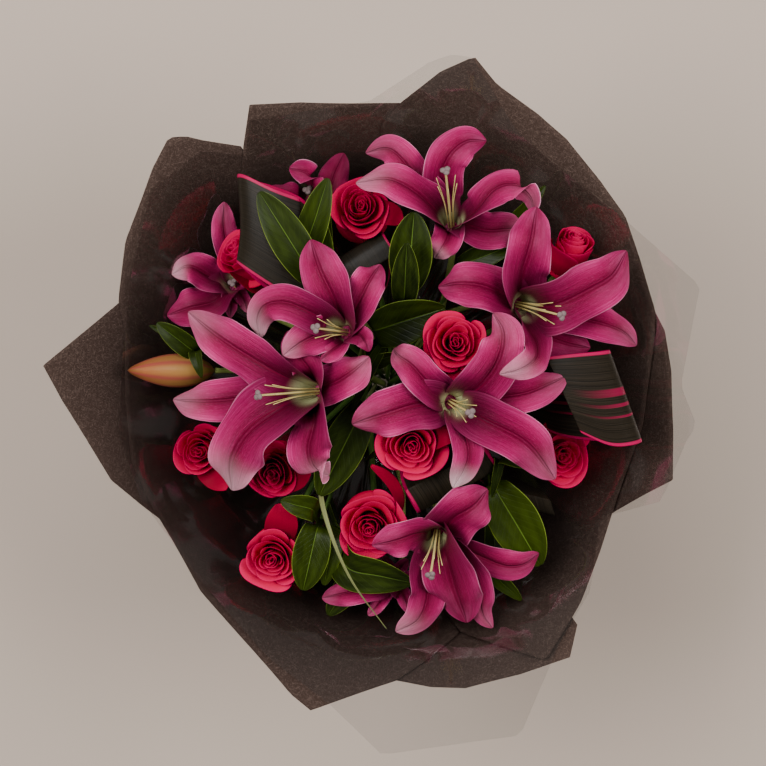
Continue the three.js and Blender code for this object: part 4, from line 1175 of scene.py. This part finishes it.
for number, spray in enumerate(SPRAYS):
    chance = random.Random(130 + number)
    node = f"leafy_spray_{number + 1}"
    top = seen(*spray["top"])
    run = [*lower_run(node, 235), top]
    stem_path = flow(run, 200)
    stems, leaves = fresh(), fresh()
    lay_tube(stems, run, lambda v: 1.75 * MM, sides=8, along=70)
    for n, (base, tip, wide) in enumerate(spray["leaves"]):
        base, tip = seen(*base), seen(*tip)
        level = min(base.z - BELOW_BLADE * MM, top.z - (BELOW_TIP + LEAF_SPACING * n) * MM)
        start = min(stem_path, key=lambda spot: abs(spot.z - level))
        lay_leaf(leaves, start, base, tip, wide, chance.uniform(0, 0.08), chance)
    piece(f"{node}_stem", stems, [rose_stem], [node])
    looks = [rose_stem, green_leaf]
    piece(f"{node}_leaves", leaves, looks, [node], wall=0.5 * MM, rounds=1)
print("sprays:", len(SPRAYS), "with", sum(len(spray["leaves"]) for spray in SPRAYS), "leaves")

# %% [markdown]
# ## Looped cordyline leaves
#
# A florist bends each long leaf back on itself and tucks it in, so that it shows as a broad fold.
# Both of the blade's edges are smooth paths, up to the fold and back, and the blade is laid
# between them. It opens from a narrow stalk to its full width.

# %% Cordyline loops
# Each loop: pairs of places on its left and right edge, from where it comes up to its end.
LOOPS = [
    [((-60, 144, 330), (-70, 64, 330)), ((-88, 158, 352), (-92, 74, 356)),
     ((-117, 166, 366), (-117, 96, 366)), ((-114, 168, 376), (-116, 95, 376)),
     ((-88, 156, 381), (-88, 76, 381)), ((-66, 148, 379), (-62, 62, 379))],
    [((-36, 72, 326), (6, 98, 326)), ((-40, 84, 338), (2, 112, 338)),
     ((-44, 96, 346), (-1, 122, 346)), ((-40, 90, 354), (3, 116, 354)),
     ((-32, 77, 356), (11, 103, 356))],
    [((124, 22, 344), (148, -44, 344)), ((160, 24, 357), (184, -47, 357)),
     ((182, 27, 364), (208, -46, 364)), ((178, 26, 373), (204, -49, 373)),
     ((156, 24, 377), (184, -51, 377)), ((130, 21, 377), (158, -40, 377))],
    [((14, -77, 326), (78, -43, 326)), ((20, -92, 342), (87, -58, 342)),
     ((28, -105, 350), (94, -69, 350)), ((24, -97, 357), (89, -61, 357)),
     ((17, -86, 358), (82, -51, 358))],
    [((85, -80, 300), (130, -89, 300)), ((91, -86, 314), (135, -98, 314)),
     ((97, -98, 320), (138, -107, 320)), ((94, -92, 328), (136, -101, 328)),
     ((90, -83, 330), (134, -93, 330))],
]
# How pink each blade is: 0 not at all, 0.5 its edges, and 1 its edges and the lines at its fold.
PINKNESS = (0.5, 0.5, 1.0, 0.5, 0.0)
BLADE_STEPS = 48

for number, loop in enumerate(LOOPS):
    node = f"cordyline_{number + 1}"
    start = stem_middle(node, 224)
    rails = []
    for edge in zip(*loop):
        places = [seen(*place) for place in edge]
        rails.append(flow([start, start.lerp(places[0], 0.5), *places], BLADE_STEPS))

    def on_blade(u, v):
        left, right = (rail[round(v * BLADE_STEPS)] for rail in rails)
        open_share = 0.08 + 0.92 * smooth_step(v, 0.2, 0.55)
        spot = (left + right) / 2 + (right - left) * ((u - 0.5) * open_share)
        return spot + UP * MM * (1 - (2 * u - 1) ** 2) * 2.5 * smooth_step(v, 0.5, 0.8)

    bm = fresh()
    lay_tube(bm, [*lower_run(node), stem_middle(node, 226)], lambda v: 2.1 * MM, sides=8, along=60)
    lay_grid(bm, 16, BLADE_STEPS, on_blade, tone=PINKNESS[number], finish=1)
    looks = [lily_stem, cordyline_leaf]
    piece(f"{node}_blade", bm, looks, [node], wall=0.5 * MM, rounds=1)
print("loops:", len(LOOPS))

# %% [markdown]
# ## The blade of grass
#
# One blade of grass comes up with the stems and arches outwards over the lower blooms. It is one
# narrow strip from its foot to its tip.

# %% Grass blade
GRASS_WIDTH = 4.5
GRASS_PATH = ((-50, -84, 340), (-44, -114, 362), (-27, -155, 361), (3, -197, 334))


def grass_width(v):
    return max(GRASS_WIDTH * min(1, (1 - v) * 4), 0.8) * MM


bm = fresh()
grass_run = [*lower_run("grass_blade", 250, 300), *(seen(*place) for place in GRASS_PATH)]
lay_strip(bm, grass_run, Vector((1, 0.3, 0)), 2, 80, grass_width, lambda s, v: 0.35 * abs(s) * v)
piece("grass_blade_fine", bm, [grass], ["grass_blade"], wall=0.5 * MM, rounds=1)
print("blade of grass, points on its way:", len(grass_run))

# %% [markdown]
# ## The wrap
#
# Each sheet is gathered at the waist and flares out to a straight-cut rim with its corners. Seen
# from above a sheet is known by its rim, so each is a grid that runs from the skirt's hem through
# the waist to that rim. It follows the flared wall in height, and its pleats are the same for all
# the layers, so that they nest.

# %% The flared wall
# Lengths are in mm. Up to HEM_SHARE of its way a sheet is skirt, and from there to BAND_SHARE it
# lies in the band that the ribbon holds.
WAIST_RADIUS = 23.6
WAIST_BOTTOM, WAIST_TOP = 143, 157
SKIRT_DEPTH, SKIRT_FLARE = 62, 0.6
KNEE_RADIUS, KNEE_HEIGHT = 62, 205
WALL_SLOPE = 0.72
LAYER_STEP = 1.6
MIDDLE_OF_SHEET = 0.35
HEM_SHARE, BAND_SHARE = 0.14, 0.18
# Each wave of the pleats: how deep, how many go round, and where it starts.
BROAD_WAVES = ((1, 5, 0.6), (0.6, 9, 2.0), (0.35, 17, 0))
TIGHT_WAVES = ((1, 31, 0), (0.5, 47, 1))
BROAD_DEPTH, TIGHT_DEPTH = 2.2, 0.5


def wall_height(r):
    if r < KNEE_RADIUS:
        steep = (KNEE_HEIGHT - WAIST_TOP) / (KNEE_RADIUS - WAIST_RADIUS)
        return WAIST_TOP + steep * (r - WAIST_RADIUS)
    return KNEE_HEIGHT + WALL_SLOPE * (r - KNEE_RADIUS)


def on_wall(x, y):
    """The real plan place, in mm from the axis, of a place on the wall as seen from above."""
    real = Vector((x, y))
    for _ in range(6):
        z = wall_height(real.length)
        nearness = (EYE_HEIGHT / MM - z) / (EYE_HEIGHT / MM - BLOOM_LEVEL / MM)
        real = Vector((x, y)) * nearness
    return real


def waves(table, angle):
    return sum(deep * math.sin(many * angle + start) for deep, many, start in table)


def pleat(angle, r):
    """How far the sheets stand off the even wall, in mm: tight folds near the waist, broad ones
    at the rim."""
    far = smooth_step(r, 60, 220)
    broad, tight = waves(BROAD_WAVES, angle), waves(TIGHT_WAVES, angle)
    return BROAD_DEPTH * broad * far + TIGHT_DEPTH * tight * (1 - far)


def sheet_point(waist, rim, t, layer):
    """A point of a sheet: t is 0 at the skirt's hem, and 1 at the rim."""
    off = layer * LAYER_STEP + MIDDLE_OF_SHEET
    waist_way = waist.normalized()
    if t < HEM_SHARE:
        down = 1 - t / HEM_SHARE
        plan = waist_way * (WAIST_RADIUS + off + SKIRT_FLARE * SKIRT_DEPTH * down)
        z = WAIST_BOTTOM - SKIRT_DEPTH * down
    elif t < BAND_SHARE:
        plan = waist_way * (WAIST_RADIUS + off)
        z = WAIST_BOTTOM + (WAIST_TOP - WAIST_BOTTOM) * (t - HEM_SHARE) / (BAND_SHARE - HEM_SHARE)
    else:
        even = waist.lerp(rim - rim.normalized() * off, (t - BAND_SHARE) / (1 - BAND_SHARE))
        z = wall_height(even.length)
        plan = even + even.normalized() * off
    if t > BAND_SHARE:
        z += pleat(math.atan2(plan.y, plan.x), plan.length)
    return AXIS + Vector((plan.x, plan.y, z)) * MM


def along_rim(rim, u):
    """The point a share u of the way along a polyline."""
    lengths = [(b - a).length for a, b in zip(rim, rim[1:])]
    goal = u * sum(lengths)
    for a, b, length in zip(rim, rim[1:], lengths):
        if goal <= length:
            return a.lerp(b, goal / length)
        goal -= length
    return rim[-1].copy()


# %% [markdown]
# Each rim goes from corner to corner of the cut sheet, as the photo shows it. A sheet is measured
# as it is made: its rim, and its longest run from the hem to the rim, are the sides of the flat
# piece that it is gathered from.

# %% Fibre sheets
# rim: the sheet's free edge as seen from above; waist: the angles that it spans at the tie;
# layer: counted outwards from the film.
SHEETS = {
    "wrap_right_inner": dict(layer=1, waist=(92, -92), rim=[
        (-2, 206), (14, 224), (46, 249), (73, 261), (91, 239), (124, 216), (147, 196), (174, 162), (194, 134),
        (206, 98), (218, 58), (217, 35), (208, -34), (185, -101), (174, -134), (159, -174), (154, -183),
        (130, -222), (86, -208), (62, -199), (50, -184)]),
    "wrap_top": dict(layer=2, waist=(180, 0), rim=[
        (-114, 166), (-112, 190), (-107, 223), (-66, 225), (14, 224), (40, 214)]),
    "wrap_left_inner": dict(layer=3, waist=(90, 270), rim=[
        (-114, 190), (-146, 195), (-158, 198), (-172, 197), (-185, 172), (-206, 114), (-212, 66), (-207, 42),
        (-207, -14), (-202, -62), (-186, -98), (-167, -129), (-146, -167), (-89, -232), (-74, -250),
        (-58, -263), (10, -239), (32, -224), (53, -207), (62, -199)]),
    "wrap_left_outer": dict(layer=4, waist=(90, 270), rim=[
        (-212, 64), (-273, 14), (-258, -14), (-218, -78), (-194, -98), (-174, -113), (-164, -134)]),
    "wrap_right_outer": dict(layer=5, waist=(90, -90), rim=[
        (206, 98), (218, 58), (226, 42), (231, 10), (233, -38), (233, -78), (210, -90), (182, -106)]),
    "wrap_bottom": dict(layer=6, waist=(0, -180), rim=[
        (156, -194), (150, -220), (110, -234), (66, -245), (38, -244), (10, -239)]),
}
FILM_RIM = [
    (-10, 226), (38, 257), (54, 262), (71, 261), (107, 202), (150, 165), (190, 134), (254, 78), (238, -2),
    (251, -34), (243, -46), (230, -78), (223, -95), (174, -108), (166, -166), (142, -206), (110, -282),
    (-1, -298), (-41, -259), (-90, -222), (-146, -158), (-194, -94), (-212, -38), (-209, 18), (-202, 82),
    (-186, 154), (-146, 186), (-110, 182), (-107, 210), (-66, 217), (-10, 226)]


def lay_sheet(rim, waist, layer, across, along):
    rim = [on_wall(*place) for place in rim]
    start, stop = (math.radians(angle) for angle in waist)

    def place(u, v):
        angle = start + (stop - start) * u
        tied = Vector((math.cos(angle), math.sin(angle))) * WAIST_RADIUS
        return sheet_point(tied, along_rim(rim, u), v, layer)

    bm = fresh()
    lay_grid(bm, across, along, place)
    if stop < start:
        bmesh.ops.reverse_faces(bm, faces=bm.faces[:])
    lines = [[place(u / across, v / along) for v in range(along + 1)] for u in range(across + 1)]
    rim_length = sum((b[-1] - a[-1]).length for a, b in zip(lines, lines[1:]))
    longest = max(sum((b - a).length for a, b in zip(line, line[1:])) for line in lines)
    area = sum(face.calc_area() for face in bm.faces)
    print("rim, longest run, area in metres:", round(rim_length, 3), round(longest, 3), round(area, 4))
    return bm, (rim_length, longest), area


for name, sheet in SHEETS.items():
    print(name)
    bm, flat, area = lay_sheet(sheet["rim"], sheet["waist"], sheet["layer"], 120, 60)
    looks = [fibre_outside, fibre_inside]
    made = piece(f"{name}_sheet", bm, looks, [name], wall=0.4 * MM, lined=True)

# %% [markdown]
# The clear film goes all the way round inside the dark sheets, and its corners stand out past
# them. The two ends of its grid are merged, and its rim is marked sharp, so that the wall's thin
# edge doesn't bend the reflections beside it.

# %% Clear film
print("clear film")
bm, flat, area = lay_sheet(FILM_RIM, (92.5, -267.5), 0, 180, 60)
bmesh.ops.remove_doubles(bm, verts=bm.verts, dist=1e-7)
for edge in bm.edges:
    edge.smooth = not edge.is_boundary
film = piece("clear_film_sheet", bm, [clear_film], ["clear_film"], wall=0.12 * MM)

# %% [markdown]
# ## Twine and ribbon
#
# The twine binds the stems inside the wrap, and the ribbon holds the sheets round it outside. Both
# are bands round the axis, a little fuller in the middle. The ribbon's knot is a flattened ball
# with a few shallow folds, and lies on the band in front.

# %% Twine and ribbon
# Lengths are in mm.
TWINE_RADIUS, TWINE_LOW, TWINE_HIGH = 21.9, 145, 155
RIBBON_RADIUS = WAIST_RADIUS + 6 * LAYER_STEP + 1.9
RIBBON_LOW, RIBBON_HIGH = 143.3, 156.7
KNOT_OUT, KNOT_HEIGHT, KNOT_SIZE = 4, 150, (8.6, 4.6, 6.4)
BAND_SWELL = 0.4


def lay_band(inner, low, high):
    def place(u, v):
        angle, r = 2 * math.pi * u, inner + BAND_SWELL * math.sin(math.pi * v)
        return AXIS + Vector((r * math.cos(angle), r * math.sin(angle), low + (high - low) * v)) * MM

    bm = fresh()
    made = lay_grid(bm, 64, 4, place)
    bmesh.ops.remove_doubles(bm, verts=made, dist=1e-7)
    return bm


bm = lay_band(TWINE_RADIUS, TWINE_LOW, TWINE_HIGH)
piece("binding_twine_turns", bm, [twine], ["binding_twine"], wall=1.4 * MM)

bm = lay_band(RIBBON_RADIUS, RIBBON_LOW, RIBBON_HIGH)
area = sum(face.calc_area() for face in bm.faces)
round_it = area / ((RIBBON_HIGH - RIBBON_LOW) * MM)
band = piece("ribbon_band", bm, [ribbon], ["ribbon"], wall=0.6 * MM)

bm = fresh()
knot_spot = AXIS + Vector((0, -(RIBBON_RADIUS + KNOT_OUT), KNOT_HEIGHT)) * MM
knot = set_down(knot_spot, UP) @ Matrix.Diagonal((*(half * MM for half in KNOT_SIZE), 1))
for vert in bmesh.ops.create_icosphere(bm, subdivisions=3, radius=1, matrix=knot)["verts"]:
    vert.co += Vector((0, -1, 0)) * 0.6 * MM * math.sin(vert.co.x * 900)
    for face in vert.link_faces:
        face.smooth = True
tie = piece("ribbon_knot", bm, [ribbon], ["ribbon"])
print("ribbon round the waist in metres:", round(round_it, 3))

# %% [markdown]
# ## Floor and light
#
# The floor is a plain pale sheet. Two large soft lights stand to the left and right, and give the
# colours without a shine. A third, weaker one behind the bouquet gives leaves and petals their sheen.

# %% Floor and lights
floor_paint = Finish("floor", Base_Color=paint(188, 171, 157), Roughness=0.9)
ground = bmesh.new()
bmesh.ops.create_grid(ground, x_segments=1, y_segments=1, size=3)
floor_mesh = bpy.data.meshes.new("floor")
ground.to_mesh(floor_mesh)
ground.free()
floor = bpy.data.objects.new("floor", floor_mesh)
floor_mesh.materials.append(floor_paint.material)
bpy.context.collection.objects.link(floor)


MIDDLE = AXIS + Vector((0, 0, 0.35))


def soft_light(name, from_axis, size, watts, sheen=False):
    lamp = bpy.data.lights.new(name, "AREA")
    lamp.size = size
    lamp.energy = watts
    made = bpy.data.objects.new(name, lamp)
    made.location = AXIS + Vector(from_axis)
    made.rotation_euler = (MIDDLE - made.location).to_track_quat("-Z", "Y").to_euler()
    made.visible_glossy = sheen
    bpy.context.collection.objects.link(made)
    print("light:", name, watts, "W")


soft_light("left_box", (-1.4, 0.2, 2.1), size=1.2, watts=54)
soft_light("right_box", (1.5, 0.1, 2.0), size=1.2, watts=54)
soft_light("sheen_box", (-0.5, 1.0, 2.3), size=1.4, watts=24, sheen=True)

world = bpy.data.worlds.new("room")
world.use_nodes = True
world.node_tree.nodes["Background"].inputs["Color"].default_value = (0.95, 0.9, 0.86, 1)
world.node_tree.nodes["Background"].inputs["Strength"].default_value = 0.1
bpy.context.scene.world = world
